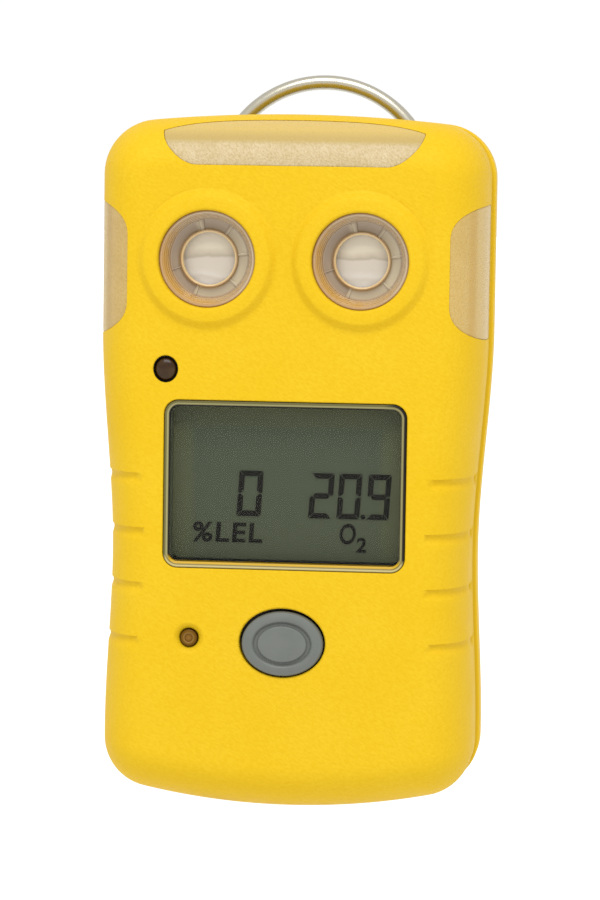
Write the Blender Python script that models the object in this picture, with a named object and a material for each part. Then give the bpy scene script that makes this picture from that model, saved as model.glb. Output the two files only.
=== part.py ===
"""Portable two-gas detector: shells, sensors, display, electronics, alarm parts and hanging ring.

Run with: blender --background --python part.py
The axes are X to the right as seen from the front, Y to the back and Z up. The origin is the middle of the
small flat foot. Lengths in this script are in millimetres, and make_object turns them into metres.
"""

from math import asin, atan2, cos, pi, radians, sin, sqrt

import bmesh
import bpy
from mathutils import Vector

MM = 0.001

# Body
HEIGHT = 114.3
FRONT_Y, BACK_Y = -17.0, 17.0
HALF_TOP, HALF_WAIST, HALF_HIP = 32.4, 30.35, 31.4  # half widths of the rear shell
FRONT_NARROW = 0.6  # how much narrower the front shell is, each side
HIP_Z, WAIST_Z, SHOULDER_Z = 12.25, 42.25, 79.25
TOP_ARC, BOTTOM_ARC = 245.0, 116.0  # radii of the crowned top and bottom
TOP_CORNER, BOTTOM_CORNER = 9.0, 8.7
FRONT_ROUND_DEPTH, FRONT_ROUND_INSET = 12.0, 8.0
BACK_ROUND_DEPTH, BACK_ROUND_INSET = 10.5, 7.5
FOOT_HALF = 8.0
CORNER_STEPS, SIDE_STEPS = 5, 10  # facets of the outline
WALL = 2.2
SEAM_Y = 2.0
GAP = 0.3  # clearance between pieces that touch
GASKET_INSET, GASKET_WIDTH = 1.6, 0.8  # from the rear shell's side

# Gas ports and sensors
PORT_XS = {"left": -13.15, "right": 11.85}
PORT_Z = 90.65
PORT_R, BEZEL_R, BEZEL_HEIGHT = 7.9, 10.35, 1.0
CAP_HOLE_R = 4.25
SENSOR_R, SENSOR_LENGTH = 10.0, 16.5
SENSOR_FACE_Y = -10.1

# Display
DISPLAY_Z, DISPLAY_W, DISPLAY_H = 53.95, 39.7, 27.5
DISPLAY_CORNER = 2.4
WINDOW_LEDGE = 0.8
WINDOW_T = 1.2

# Button
BUTTON_Z = 28.25
BUTTON_HOLE_RX, BUTTON_HOLE_RZ = 7.05, 5.65

# Small optical parts on the front
IR_X, IR_Z, IR_R = -19.7, 72.65, 1.9
LED_X, LED_Z, LED_R = -15.4, 28.65, 1.35

# Alarm lenses
LENS_T = 1.9
SIDE_LENS_Z, SIDE_LENS_HALF, SIDE_LENS_STRAIGHT = 88.9, 11.05, 4.9
SIDE_LENS_FRONT, SIDE_LENS_REAR = 7.0, 22.63  # along the 45 degree diagonal round the corner
SIDE_LENS_REAR_Y = 0.2
SIDE_LENS_POWER = 2.8  # of the superellipse that rounds the D
TOP_LENS_X, TOP_LENS_HALF, TOP_LENS_STRAIGHT = 0.4, 21.35, 15.4
TOP_LENS_LOW, TOP_LENS_CORNER, TOP_LENS_HIGH = 62.87, 69.7, 72.5  # along the diagonal over the top edge

# Grip grooves, four a side
GROOVE_TOP_Z, GROOVE_PITCH, GROOVE_COUNT = 55.55, 8.97, 4
GROOVE_HEIGHT, GROOVE_DEPTH, GROOVE_INNER_X = 1.1, 0.5, 24.0

# Boards
BOARD_T = 1.6
MAIN_BOARD_Y = -9.6
SENSOR_BOARD_Y = 6.8
CASE_SCREWS = {
    "top_left": (-22.3, 101.9), "top_right": (22.3, 101.9),
    "bottom_left": (-22.0, 12.2), "bottom_right": (22.0, 12.2),
}
BOARD_SCREWS = {
    "top_left": (-24.4, 72.85), "top_right": (24.4, 72.85),
    "bottom_left": (-24.4, 19.75), "bottom_right": (24.4, 19.75),
}
SENSOR_BOARD_SCREWS = {"upper": (-0.65, 98.85), "lower": (-0.65, 80.85)}
ALARM_LEDS = {"top": (0.0, 106.3), "left": (-26.0, 89.65), "right": (24.9, 89.65)}
CONTACT_XS, CONTACT_Z = (-6.0, 6.0), 12.0

# Vibration motor
MOTOR_Y, MOTOR_Z, MOTOR_R = -4.2, 24.25, 3.0

# Hanging ring
STEP_Y, STEP_Z = BACK_Y - 0.5, 82.0  # the back is stepped in above this height to seat the ring bracket
WIRE_R = 1.2
RING_ARC_R = 18.4
RING_X = 2.1  # slid to one side within its bracket
RING_ARC_Z = 101.65
BAR_Z = 98.25
BRACKET_T = 1.0
BRACKET_HALF = 9.0
BAR_Y = STEP_Y + GAP + BRACKET_T + GAP + WIRE_R
BRACKET_SCREW_X, BRACKET_SCREW_Z = 5.5, 87.25

COLOURS = {  # slot: (colour, roughness, metallic)
    "yellow_overmould": ((0.93, 0.62, 0.02), 0.55, 0.0),
    "frosted_lens": ((0.80, 0.68, 0.44), 0.45, 0.0),
    "amber_clear": ((0.70, 0.52, 0.32), 0.15, 0.0),
    "filter_white": ((0.72, 0.66, 0.58), 0.5, 0.0),
    "sensor_metal": ((0.55, 0.55, 0.54), 0.35, 1.0),
    "seal_black": ((0.02, 0.02, 0.02), 0.8, 0.0),
    "clear_window": ((0.75, 0.78, 0.70), 0.08, 0.0),
    "lcd_glass": ((0.09, 0.11, 0.07), 0.2, 0.0),
    "light_guide": ((0.85, 0.87, 0.85), 0.3, 0.0),
    "button_grey": ((0.22, 0.23, 0.22), 0.5, 0.0),
    "dark_lens": ((0.05, 0.03, 0.02), 0.1, 0.0),
    "amber_led": ((0.45, 0.25, 0.06), 0.2, 0.0),
    "red_led": ((0.5, 0.05, 0.03), 0.25, 0.0),
    "board_green": ((0.02, 0.18, 0.06), 0.45, 0.0),
    "black_plastic": ((0.03, 0.03, 0.03), 0.5, 0.0),
    "battery_blue": ((0.03, 0.12, 0.35), 0.4, 0.0),
    "steel": ((0.62, 0.61, 0.58), 0.22, 1.0),
    "brass": ((0.75, 0.55, 0.2), 0.25, 1.0),
}


# ---------------------------------------------------------------- scene helpers


def clear_scene():
    for obj in list(bpy.data.objects):
        bpy.data.objects.remove(obj, do_unlink=True)


def material(slot):
    found = bpy.data.materials.get(slot)
    if found:
        return found
    colour, roughness, metallic = COLOURS[slot]
    made = bpy.data.materials.new(slot)
    made.use_nodes = True
    shader = made.node_tree.nodes["Principled BSDF"]
    shader.inputs["Base Color"].default_value = (*colour, 1.0)
    shader.inputs["Roughness"].default_value = roughness
    shader.inputs["Metallic"].default_value = metallic
    return made


def make_object(name, verts, faces, origin=(0, 0, 0)):
    """A mesh object from millimetre points, with its faces turned outwards and its origin at a given place."""
    mesh = bpy.data.meshes.new(name)
    start = Vector(origin)
    mesh.from_pydata([(Vector(v) - start) * MM for v in verts], [], faces)
    bm = bmesh.new()
    bm.from_mesh(mesh)
    bmesh.ops.recalc_face_normals(bm, faces=bm.faces)
    bm.to_mesh(mesh)
    bm.free()
    obj = bpy.data.objects.new(name, mesh)
    obj.location = start * MM
    bpy.context.scene.collection.objects.link(obj)
    return obj


def combine(obj, tool, operation):
    """Applies a Boolean with another object, and removes that object."""
    step = obj.modifiers.new(operation, "BOOLEAN")
    step.operation = operation
    step.solver = "EXACT"
    step.object = tool
    bpy.context.view_layer.update()
    graph = bpy.context.evaluated_depsgraph_get()
    mesh = bpy.data.meshes.new_from_object(obj.evaluated_get(graph))
    obj.modifiers.remove(step)
    obj.data = mesh
    bpy.data.objects.remove(tool, do_unlink=True)
    return obj


def cut(obj, *tools):
    for tool in tools:
        combine(obj, tool, "DIFFERENCE")
    return obj


def join(obj, *tools):
    for tool in tools:
        combine(obj, tool, "UNION")
    return obj


def finish(obj, slot, smooth=30):
    obj.data.materials.clear()
    obj.data.materials.append(material(slot))
    obj.data.shade_smooth()
    obj.data.set_sharp_from_angle(angle=radians(smooth))
    return obj


# ---------------------------------------------------------------- shape helpers


def loft(name, rings, origin=(0, 0, 0)):
    """A closed solid through rings of points, with a flat cap on each end."""
    count = len(rings[0])
    verts = [point for ring in rings for point in ring]
    faces = [list(range(count)), list(range(len(verts) - count, len(verts)))]
    for k in range(len(rings) - 1):
        for i in range(count):
            j = (i + 1) % count
            faces.append([k * count + i, k * count + j, (k + 1) * count + j, (k + 1) * count + i])
    return make_object(name, verts, faces, origin)


def prism(name, outline, y0, y1, origin=(0, 0, 0)):
    """An (x, z) outline extruded from y0 to y1."""
    return loft(name, [[(x, y, z) for x, z in outline] for y in (y0, y1)], origin)


def box(name, x0, x1, y0, y1, z0, z1):
    return prism(name, [(x0, z0), (x1, z0), (x1, z1), (x0, z1)], y0, y1)


def ellipse(x, z, rx, rz, steps):
    return [(x + rx * cos(2 * pi * i / steps), z + rz * sin(2 * pi * i / steps)) for i in range(steps)]


def cylinder(name, x, z, r, y0, y1, steps=24):
    return prism(name, ellipse(x, z, r, r, steps), y0, y1)


def rounded_rectangle(x, z, width, height, r, steps=4):
    points = []
    for k, (sx, sz) in enumerate(((1, 1), (-1, 1), (-1, -1), (1, -1))):
        cx, cz = x + sx * (width / 2 - r), z + sz * (height / 2 - r)
        for i in range(steps + 1):
            a = (k + i / steps) * pi / 2
            points.append((cx + r * cos(a), cz + r * sin(a)))
    return points


def turned(name, profile, x, z, steps=24, along_x=None):
    """A solid of revolution about an axis through (x, z) along Y, from (radius, y) points.

    A profile that starts and ends on the axis is a plain solid, and any other is closed into a ring.
    With along_x=(y, z), the axis runs along X instead, and the profile's second number is x.
    """
    verts, rows = [], []
    for r, y in profile:
        rows.append(list(range(len(verts), len(verts) + (1 if r == 0 else steps))))
        for i in range(1 if r == 0 else steps):
            a = 2 * pi * i / steps
            if along_x:
                verts.append((y, along_x[0] + r * cos(a), along_x[1] + r * sin(a)))
            else:
                verts.append((x + r * cos(a), y, z + r * sin(a)))
    pairs = list(zip(rows, rows[1:]))
    if profile[0][0] != 0:
        pairs.append((rows[-1], rows[0]))
    faces = []
    for a, b in pairs:
        for i in range(steps):
            j = (i + 1) % steps
            if len(a) == 1:
                faces.append([a[0], b[i], b[j]])
            elif len(b) == 1:
                faces.append([a[i], a[j], b[0]])
            else:
                faces.append([a[i], a[j], b[j], b[i]])
    return make_object(name, verts, faces)


# ---------------------------------------------------------------- body surface


def blend(t):
    t = min(1.0, max(0.0, t))
    return t * t * (3 - 2 * t)


def half_width(z):
    if z > WAIST_Z:
        return HALF_WAIST + (HALF_TOP - HALF_WAIST) * blend((z - WAIST_Z) / (SHOULDER_Z - WAIST_Z))
    return HALF_HIP - (HALF_HIP - HALF_WAIST) * blend((z - HIP_Z) / (WAIST_Z - HIP_Z))


def right_outline(inset, narrow):
    """The right half of the outline, from the middle of the foot up to the middle of the top."""
    low_r, high_r = BOTTOM_CORNER, TOP_CORNER
    foot_rise = BOTTOM_ARC - sqrt(BOTTOM_ARC**2 - FOOT_HALF**2)
    low_centre_z = BOTTOM_ARC - foot_rise  # so that the middle of the bottom is cut flat at z = 0
    low_x = HALF_HIP - narrow - low_r
    low_z = low_centre_z - sqrt((BOTTOM_ARC - low_r) ** 2 - low_x**2)
    high_centre_z = HEIGHT - TOP_ARC
    high_x = HALF_TOP - narrow - high_r
    high_z = high_centre_z + sqrt((TOP_ARC - high_r) ** 2 - high_x**2)
    low_turn = asin(low_x / (BOTTOM_ARC - low_r))
    high_turn = asin(high_x / (TOP_ARC - high_r))
    foot_turn = asin(FOOT_HALF / BOTTOM_ARC)
    points = []
    for a in (0.0, foot_turn * 0.6, foot_turn, foot_turn * 1.6, low_turn):
        points.append(((BOTTOM_ARC - inset) * sin(a), max(0.0, low_centre_z - (BOTTOM_ARC - inset) * cos(a))))
    for i in range(1, CORNER_STEPS + 1):
        a = -pi / 2 + low_turn + (pi / 2 - low_turn) * i / CORNER_STEPS
        points.append((low_x + (low_r - inset) * cos(a), low_z + (low_r - inset) * sin(a)))
    for i in range(1, SIDE_STEPS):
        z = low_z + (high_z - low_z) * i / SIDE_STEPS
        points.append((half_width(z) - narrow - inset, z))
    for i in range(CORNER_STEPS + 1):
        a = (pi / 2 - high_turn) * i / CORNER_STEPS
        points.append((high_x + (high_r - inset) * cos(a), high_z + (high_r - inset) * sin(a)))
    for i in (2, 1, 0):
        a = high_turn * i / 3
        points.append(((TOP_ARC - inset) * sin(a), high_centre_z + (TOP_ARC - inset) * cos(a)))
    return points


def body_ring(y, offset, narrow):
    """The outline at depth y, for the surface moved inwards by offset and the sides by narrow as well."""
    inset = offset
    front = (y - FRONT_Y - offset, FRONT_ROUND_DEPTH - offset, FRONT_ROUND_INSET - offset)
    back = (BACK_Y - offset - y, BACK_ROUND_DEPTH - offset, BACK_ROUND_INSET - offset)
    for end, depth, most in (front, back):
        if end < depth:
            inset = offset + most * (1 - sqrt(max(0.0, 1 - (1 - end / depth) ** 2)))
    right = right_outline(inset, narrow)
    left = [(-x, z) for x, z in right[-2:0:-1]]
    return [(x, y, z) for x, z in right + left]


def body_solid(name, offset, y0=FRONT_Y, y1=BACK_Y, narrow=0.0, steps=5):
    """The body between two depths, with its surface moved inwards by offset."""
    y0, y1 = max(y0, FRONT_Y + offset), min(y1, BACK_Y - offset)
    depths = [y0, y1]
    for i in range(steps + 1):
        a = pi / 2 * i / steps
        depths.append(FRONT_Y + offset + (FRONT_ROUND_DEPTH - offset) * (1 - cos(a)))
        depths.append(BACK_Y - offset - (BACK_ROUND_DEPTH - offset) * (1 - cos(a)))
    inside = sorted({round(y, 4) for y in depths if y0 <= y <= y1})
    kept = [inside[0]]
    for y in inside[1:]:
        if y - kept[-1] > 0.05:
            kept.append(y)
    return loft(name, [body_ring(y, offset, narrow) for y in kept])


# ---------------------------------------------------------------- cutters


def gasket_groove(y0, y1):
    """The rebate inside the outer lip of each shell that holds the gasket."""
    inner = FRONT_NARROW + WALL + 0.3
    return cut(body_solid("groove", GASKET_INSET - GAP, y0, y1), body_solid("inside", inner, y0 - 1, y1 + 1))


def mirrored(right):
    """An outline through the points of its right half and their mirror images."""
    return right + [(-x, v) for x, v in reversed(right) if x > 0]


def side_lens_prism(side, grow):
    """A D-shaped bar along the diagonal through the body's front corner, cut flat behind."""
    reach = SIDE_LENS_REAR - SIDE_LENS_FRONT + grow
    rise = SIDE_LENS_HALF - SIDE_LENS_STRAIGHT + grow
    top = [(SIDE_LENS_REAR + 3.0, SIDE_LENS_HALF + grow), (SIDE_LENS_REAR, SIDE_LENS_HALF + grow)]
    for i in range(1, 8):
        a = pi / 2 * i / 7
        top.append((SIDE_LENS_REAR - reach * sin(a) ** (2 / SIDE_LENS_POWER),
                    SIDE_LENS_STRAIGHT + rise * max(0.0, cos(a)) ** (2 / SIDE_LENS_POWER)))
    outline = top + [(u, -v) for u, v in reversed(top)]
    rings = []
    for out in (20.0, 46.0):
        rings.append([(side * (u + out) / sqrt(2), (u - out) / sqrt(2), SIDE_LENS_Z + v) for u, v in outline])
    bar = loft("side_lens_prism", rings)
    return cut(bar, box("behind", -60, 60, SIDE_LENS_REAR_Y + grow, 40, 60, 120))


def top_lens_prism(grow):
    """A bar along the diagonal through the body's top front edge, crowned above and round below."""
    corner_x, corner_v = TOP_LENS_HALF, TOP_LENS_CORNER
    right = []
    for i in range(6):
        a = pi / 2 * i / 5
        right.append((TOP_LENS_STRAIGHT + (corner_x - TOP_LENS_STRAIGHT + grow) * sin(a),
                      corner_v - (corner_v - TOP_LENS_LOW + grow) * cos(a)))
    for f in (0.97, 0.9, 0.8, 0.66, 0.45, 0.0):
        right.append(((corner_x + grow) * f, corner_v + (TOP_LENS_HIGH - corner_v + grow) * (1 - f**4)))
    rings = []
    for out in (80.0, 110.0):
        rings.append([(x + TOP_LENS_X, (v - out) / sqrt(2), (v + out) / sqrt(2)) for x, v in mirrored(right)])
    return loft("top_lens_prism", rings)


def grip_groove_cutter():
    """Four shallow grooves a side, following the body's surface from its front corner to the seam."""
    slabs = None
    for side in (-1, 1):
        for k in range(GROOVE_COUNT):
            top = GROOVE_TOP_Z - GROOVE_PITCH * k
            x0, x1 = sorted((side * GROOVE_INNER_X, side * (HALF_TOP + 5)))
            slab = box("slab", x0, x1, FRONT_Y - 2, SEAM_Y + 1, top - GROOVE_HEIGHT, top)
            slabs = join(slabs, slab) if slabs else slab
    return cut(slabs, body_solid("core", GROOVE_DEPTH, narrow=FRONT_NARROW))


# ---------------------------------------------------------------- shells


def bezel(x):
    """The soft raised ring round a gas port."""
    top = FRONT_Y - BEZEL_HEIGHT
    profile = [
        (BEZEL_R, FRONT_Y + 0.6), (BEZEL_R, FRONT_Y - 0.05), (BEZEL_R - 0.5, FRONT_Y - 0.6),
        (BEZEL_R - 0.9, top), (PORT_R + 0.4, top), (PORT_R + 0.15, top + 0.3), (PORT_R + 0.15, FRONT_Y + 0.6),
    ]
    return turned("bezel", profile, x, PORT_Z, 36)


def front_shell():
    lip = SEAM_Y - GAP / 2
    shell = body_solid("front_shell", 0, FRONT_Y, lip, FRONT_NARROW)
    cut(shell, body_solid("hollow", WALL, FRONT_Y, lip + 5, FRONT_NARROW))
    inner = FRONT_Y + WALL - 0.7
    for x, z in CASE_SCREWS.values():
        join(shell, cylinder("boss", x, z, 2.9, inner, lip, 12))
    for x, z in BOARD_SCREWS.values():
        join(shell, cylinder("post", x, z, 2.0, inner, MAIN_BOARD_Y - GAP, 12))
    for x, z in SENSOR_BOARD_SCREWS.values():
        join(shell, cylinder("post", x, z, 2.0, inner, SENSOR_BOARD_Y - GAP, 12))
    for x in PORT_XS.values():
        cut(shell, cylinder("bore", x, PORT_Z, PORT_R, FRONT_Y - 5, FRONT_Y + 5, 32))
        join(shell, bezel(x))
    cut(shell, gasket_groove(SEAM_Y - 0.9, lip + 1))
    seat = rounded_rectangle(0, DISPLAY_Z, DISPLAY_W, DISPLAY_H, DISPLAY_CORNER)
    hole = rounded_rectangle(
        0, DISPLAY_Z, DISPLAY_W - 2 * WINDOW_LEDGE, DISPLAY_H - 2 * WINDOW_LEDGE, DISPLAY_CORNER - 0.8
    )
    cut(shell, prism("seat", seat, FRONT_Y - 3, FRONT_Y + WINDOW_T + GAP))
    cut(shell, prism("hole", hole, FRONT_Y - 3, FRONT_Y + 5))
    button = ellipse(0, BUTTON_Z, BUTTON_HOLE_RX, BUTTON_HOLE_RZ, 28)
    cut(shell, prism("button_hole", button, FRONT_Y - 3, FRONT_Y + 5))
    cut(shell, cylinder("ir_hole", IR_X, IR_Z, IR_R + GAP, FRONT_Y - 3, FRONT_Y + 5, 16))
    countersink = [(0, FRONT_Y - 1), (LED_R + 1.5, FRONT_Y - 1), (LED_R + 1.5, FRONT_Y),
                   (LED_R + GAP, FRONT_Y + 0.7), (LED_R + GAP, FRONT_Y + 5), (0, FRONT_Y + 5)]
    cut(shell, turned("led_hole", countersink, LED_X, LED_Z, 16))
    cut(shell, side_lens_prism(-1, 0), side_lens_prism(1, 0), top_lens_prism(0))
    cut(shell, grip_groove_cutter())
    for x, z in CASE_SCREWS.values():
        cut(shell, cylinder("pilot", x, z, 1.1 + GAP, -10, SEAM_Y + 3, 12))
    for x, z in BOARD_SCREWS.values():
        cut(shell, cylinder("pilot", x, z, 0.85 + GAP, FRONT_Y + 2.9, MAIN_BOARD_Y + 2, 12))
    for x, z in SENSOR_BOARD_SCREWS.values():
        cut(shell, cylinder("pilot", x, z, 0.85 + GAP, -1, SENSOR_BOARD_Y + 2, 12))
    finish(shell, "yellow_overmould")


def rear_shell():
    lip = SEAM_Y + GAP / 2
    shell = body_solid("rear_shell", 0, lip, BACK_Y)
    cut(shell, body_solid("hollow", WALL, lip - 5, BACK_Y))
    cut(shell, gasket_groove(lip - 1, SEAM_Y + 0.9))
    for x, z in CASE_SCREWS.values():
        join(shell, cylinder("boss", x, z, 3.4, lip, BACK_Y - 0.8, 12))
    for x in (-BRACKET_SCREW_X, BRACKET_SCREW_X):
        join(shell, cylinder("boss", x, BRACKET_SCREW_Z, 2.4, BACK_Y - 6, BACK_Y - 0.8, 12))
        cut(shell, cylinder("pilot", x, BRACKET_SCREW_Z, 0.9 + GAP, BACK_Y - 5, BACK_Y + 1, 12))
    cut(shell, box("step", -40, 40, STEP_Y, BACK_Y + 2, STEP_Z, HEIGHT + 5))
    for x, z in CASE_SCREWS.values():
        cut(shell, cylinder("hole", x, z, 1.1 + GAP, lip - 1, BACK_Y + 1, 12))
        cut(shell, cylinder("counterbore", x, z, 2.1 + GAP, BACK_Y - 2.4, BACK_Y + 3, 16))
    for x in CONTACT_XS:
        cut(shell, cylinder("contact_hole", x, CONTACT_Z, 2.0 + GAP, BACK_Y - 5, BACK_Y + 1, 20))
    finish(shell, "yellow_overmould")


def shell_gasket():
    loop = body_solid("shell_gasket", GASKET_INSET, SEAM_Y - 0.6, SEAM_Y + 0.6)
    cut(loop, body_solid("inside", GASKET_INSET + GASKET_WIDTH, SEAM_Y - 3, SEAM_Y + 3))
    finish(loop, "seal_black")


def charging_contacts():
    for name, x in zip(("left", "right"), CONTACT_XS):
        profile = [(0, BACK_Y - 0.3), (1.9, BACK_Y - 0.3), (2.0, BACK_Y - 0.5), (2.0, BACK_Y - 2.0),
                   (1.0, BACK_Y - 2.0), (1.0, BACK_Y - 4.5), (0, BACK_Y - 4.5)]
        finish(turned(f"{name}_charging_contact", profile, x, CONTACT_Z, 20), "brass")


# ---------------------------------------------------------------- alarm lenses


def lens(name, bar):
    """The part of the body's skin inside a bar, set in by a hair so that it is flush."""
    plate = body_solid(name, 0.1, FRONT_Y, SEAM_Y, FRONT_NARROW)
    cut(plate, body_solid("inside", LENS_T, FRONT_Y, SEAM_Y + 3, FRONT_NARROW))
    combine(plate, bar, "INTERSECT")
    finish(plate, "frosted_lens")


def alarm_lenses():
    lens("left_alarm_lens", side_lens_prism(-1, -GAP))
    lens("right_alarm_lens", side_lens_prism(1, -GAP))
    lens("top_alarm_lens", top_lens_prism(-GAP))


# ---------------------------------------------------------------- gas sensors


def sensor_cap(name, x):
    """A clear cup in the port: a thin outer wall, a ribbed floor and a short wall round the central hole."""
    r, front, floor = PORT_R - GAP, FRONT_Y + 0.2, -13.7
    back = floor + 0.9
    profile = [
        (r, front), (r, FRONT_Y + WALL + GAP), (r + 1.1, FRONT_Y + WALL + GAP), (r + 1.1, back),
        (CAP_HOLE_R, back), (CAP_HOLE_R, floor - 0.9), (CAP_HOLE_R + 0.45, floor - 0.9),
        (CAP_HOLE_R + 0.45, floor), (r - 1.1, floor), (r - 0.7, front),
    ]
    cap = turned(name, profile, x, PORT_Z, 32)
    for k in range(6):
        a = radians(12 + 60 * k)
        u, v = (cos(a), sin(a)), (-sin(a) * 0.25, cos(a) * 0.25)
        ends = (CAP_HOLE_R + 0.2, r - 0.9)
        outline = [(x + u[0] * e + s * v[0], PORT_Z + u[1] * e + s * v[1])
                   for e, s in ((ends[0], -1), (ends[1], -1), (ends[1], 1), (ends[0], 1))]
        join(cap, prism("rib", outline, floor - 0.6, floor + 0.3))
    finish(cap, "amber_clear")


def gas_sensor(name, x):
    face, r = SENSOR_FACE_Y, SENSOR_R
    back = face + SENSOR_LENGTH
    profile = [(0, face), (r - 0.5, face), (r, face + 0.5), (r, back), (0, back)]
    finish(turned(name, profile, x, PORT_Z, 32), "sensor_metal")


def sensor_parts():
    for side, name in (("left", "combustible_gas_sensor"), ("right", "oxygen_sensor")):
        x = PORT_XS[side]
        sensor_cap(f"{side}_sensor_cap", x)
        disc = [(0, -12.5), (6.6, -12.5), (6.6, -11.7), (0, -11.7)]
        finish(turned(f"{side}_sensor_filter", disc, x, PORT_Z, 24), "filter_white")
        ring = [(8.6, -11.4), (8.6, SENSOR_FACE_Y - GAP), (5.2, SENSOR_FACE_Y - GAP), (5.2, -11.4)]
        finish(turned(f"{side}_sensor_gasket", ring, x, PORT_Z, 24), "seal_black")
        gas_sensor(name, x)


# ---------------------------------------------------------------- display


def display_parts():
    width, height = DISPLAY_W - 2 * GAP, DISPLAY_H - 2 * GAP
    window = prism(
        "display_window", rounded_rectangle(0, DISPLAY_Z, width, height, DISPLAY_CORNER - GAP),
        FRONT_Y - 0.15, FRONT_Y + WINDOW_T,
    )
    recess = rounded_rectangle(0, DISPLAY_Z, width - 1.5, height - 1.5, DISPLAY_CORNER - 0.9)
    cut(window, prism("recess", recess, FRONT_Y - 1, FRONT_Y + 0.15))
    finish(window, "clear_window")
    inner = FRONT_Y + WALL + GAP
    frame_out = rounded_rectangle(0, DISPLAY_Z, 42.6, 30.4, 1.5)
    frame_in = rounded_rectangle(0, DISPLAY_Z, 38.6, 26.4, 1.5)
    seal = prism("display_gasket", frame_out, inner, inner + 0.8)
    cut(seal, prism("inside", frame_in, inner - 1, inner + 2))
    finish(seal, "seal_black")
    panel_y = inner + 0.8 + GAP
    panel = rounded_rectangle(0, DISPLAY_Z, 42.0, 30.0, 0.4, 2)
    finish(prism("lcd_panel", panel, panel_y, panel_y + 1.4), "lcd_glass")
    guide_y = panel_y + 1.4 + GAP
    finish(prism("backlight_plate", panel, guide_y, MAIN_BOARD_Y - GAP), "light_guide")


# ---------------------------------------------------------------- button


def mode_button():
    """An oval cap with a raised centre, a flange behind the front wall and a stem towards the switch."""
    rx, rz = BUTTON_HOLE_RX - 0.4, BUTTON_HOLE_RZ - 0.35
    wall = FRONT_Y + WALL
    sections = (  # depth, half width, half height
        (FRONT_Y - 0.75, 3.9, 2.9), (FRONT_Y - 0.75, 5.4, 4.2), (FRONT_Y - 0.55, 6.1, 4.8),
        (FRONT_Y - 0.1, rx, rz), (wall + GAP, rx, rz), (wall + GAP, rx + 1.2, rz + 1.2),
        (wall + GAP + 0.8, rx + 1.2, rz + 1.2), (wall + GAP + 0.8, 1.6, 1.6), (-12.3, 1.6, 1.6),
    )
    rings = [[(x, y, z) for x, z in ellipse(0, BUTTON_Z, a, b, 28)] for y, a, b in sections]
    cap = loft("mode_button", rings, origin=(0, FRONT_Y, BUTTON_Z))
    ring_outer = ellipse(0, BUTTON_Z, 4.8, 3.55, 28)
    ring_inner = ellipse(0, BUTTON_Z, 4.1, 2.95, 28)
    groove = prism("groove", ring_outer, FRONT_Y - 2, FRONT_Y - 0.45)
    cut(groove, prism("island", ring_inner, FRONT_Y - 3, FRONT_Y + 1))
    cut(cap, groove)
    finish(cap, "button_grey")


def button_switch():
    body_back = MAIN_BOARD_Y - GAP
    switch = box("button_switch", -2.6, 2.6, body_back - 1.0, body_back, BUTTON_Z - 2.6, BUTTON_Z + 2.6)
    join(switch, cylinder("plunger", 0, BUTTON_Z, 1.2, body_back - 1.25, body_back - 0.5, 16))
    finish(switch, "black_plastic")


# ---------------------------------------------------------------- optical parts


def front_lights():
    back = MAIN_BOARD_Y - GAP
    dome = [(0, FRONT_Y - 0.35)]
    for a in (25, 50, 75, 90):
        dome.append((IR_R * sin(radians(a)), FRONT_Y + 0.55 - 0.9 * cos(radians(a))))
    dome += [(IR_R, -14.5), (IR_R + 0.4, -14.5), (IR_R + 0.4, back), (0, back)]
    finish(turned("infrared_port_lens", dome, IR_X, IR_Z, 16), "dark_lens")
    led = [(0, FRONT_Y + 0.25)]
    for a in (30, 60, 90):
        led.append((LED_R * sin(radians(a)), FRONT_Y + 1.05 - 0.8 * cos(radians(a))))
    led += [(LED_R, -14.0), (LED_R + 0.4, -14.0), (LED_R + 0.4, back), (0, back)]
    finish(turned("status_led", led, LED_X, LED_Z, 16), "amber_led")


def alarm_leds():
    back = SENSOR_BOARD_Y - GAP
    for name, (x, z) in ALARM_LEDS.items():
        r, tip = 1.5, -1.5
        profile = [(0, tip), (r * 0.6, tip + 0.3), (r, tip + 1.2), (r, back - 1.0), (r + 0.3, back - 1.0),
                   (r + 0.3, back), (0, back)]
        finish(turned(f"{name}_alarm_led", profile, x, z, 12), "red_led")


# ---------------------------------------------------------------- electronics


def board(name, x_half, z0, z1, y, holes):
    plate = prism(name, rounded_rectangle(0, (z0 + z1) / 2, 2 * x_half, z1 - z0, 1.5, 3), y, y + BOARD_T)
    for x, z in holes:
        cut(plate, cylinder("hole", x, z, 0.85 + GAP, y - 1, y + BOARD_T + 1, 12))
    return finish(plate, "board_green")


def boards():
    board("main_circuit_board", 26.3, 16.85, 76.25, MAIN_BOARD_Y, BOARD_SCREWS.values())
    upper = board("sensor_circuit_board", 27.6, 78.45, 108.6, SENSOR_BOARD_Y, SENSOR_BOARD_SCREWS.values())
    for x0, x1 in ((-30, -18.4), (18.4, 30)):  # clear of the upper case screw bosses
        cut(upper, box("notch", x0, x1, SENSOR_BOARD_Y - 1, SENSOR_BOARD_Y + 3, 97.9, 112))
    connector = box(
        "board_connector", -9.0, 9.0, MAIN_BOARD_Y + BOARD_T + GAP, SENSOR_BOARD_Y + BOARD_T, 74.65, 78.15
    )
    cut(connector, box("step", -10, 10, -12, MAIN_BOARD_Y + BOARD_T + GAP + 4.0, 76.85, 80))
    finish(connector, "black_plastic")


def buzzer():
    y0 = MAIN_BOARD_Y + BOARD_T + GAP
    profile = [(0, y0), (6.5, y0), (6.5, y0 + 6.4), (6.0, y0 + 6.9), (1.4, y0 + 6.9), (1.4, y0 + 5.9), (0, y0 + 5.9)]
    finish(turned("buzzer", profile, 13.0, 51.25, 20), "black_plastic")


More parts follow.
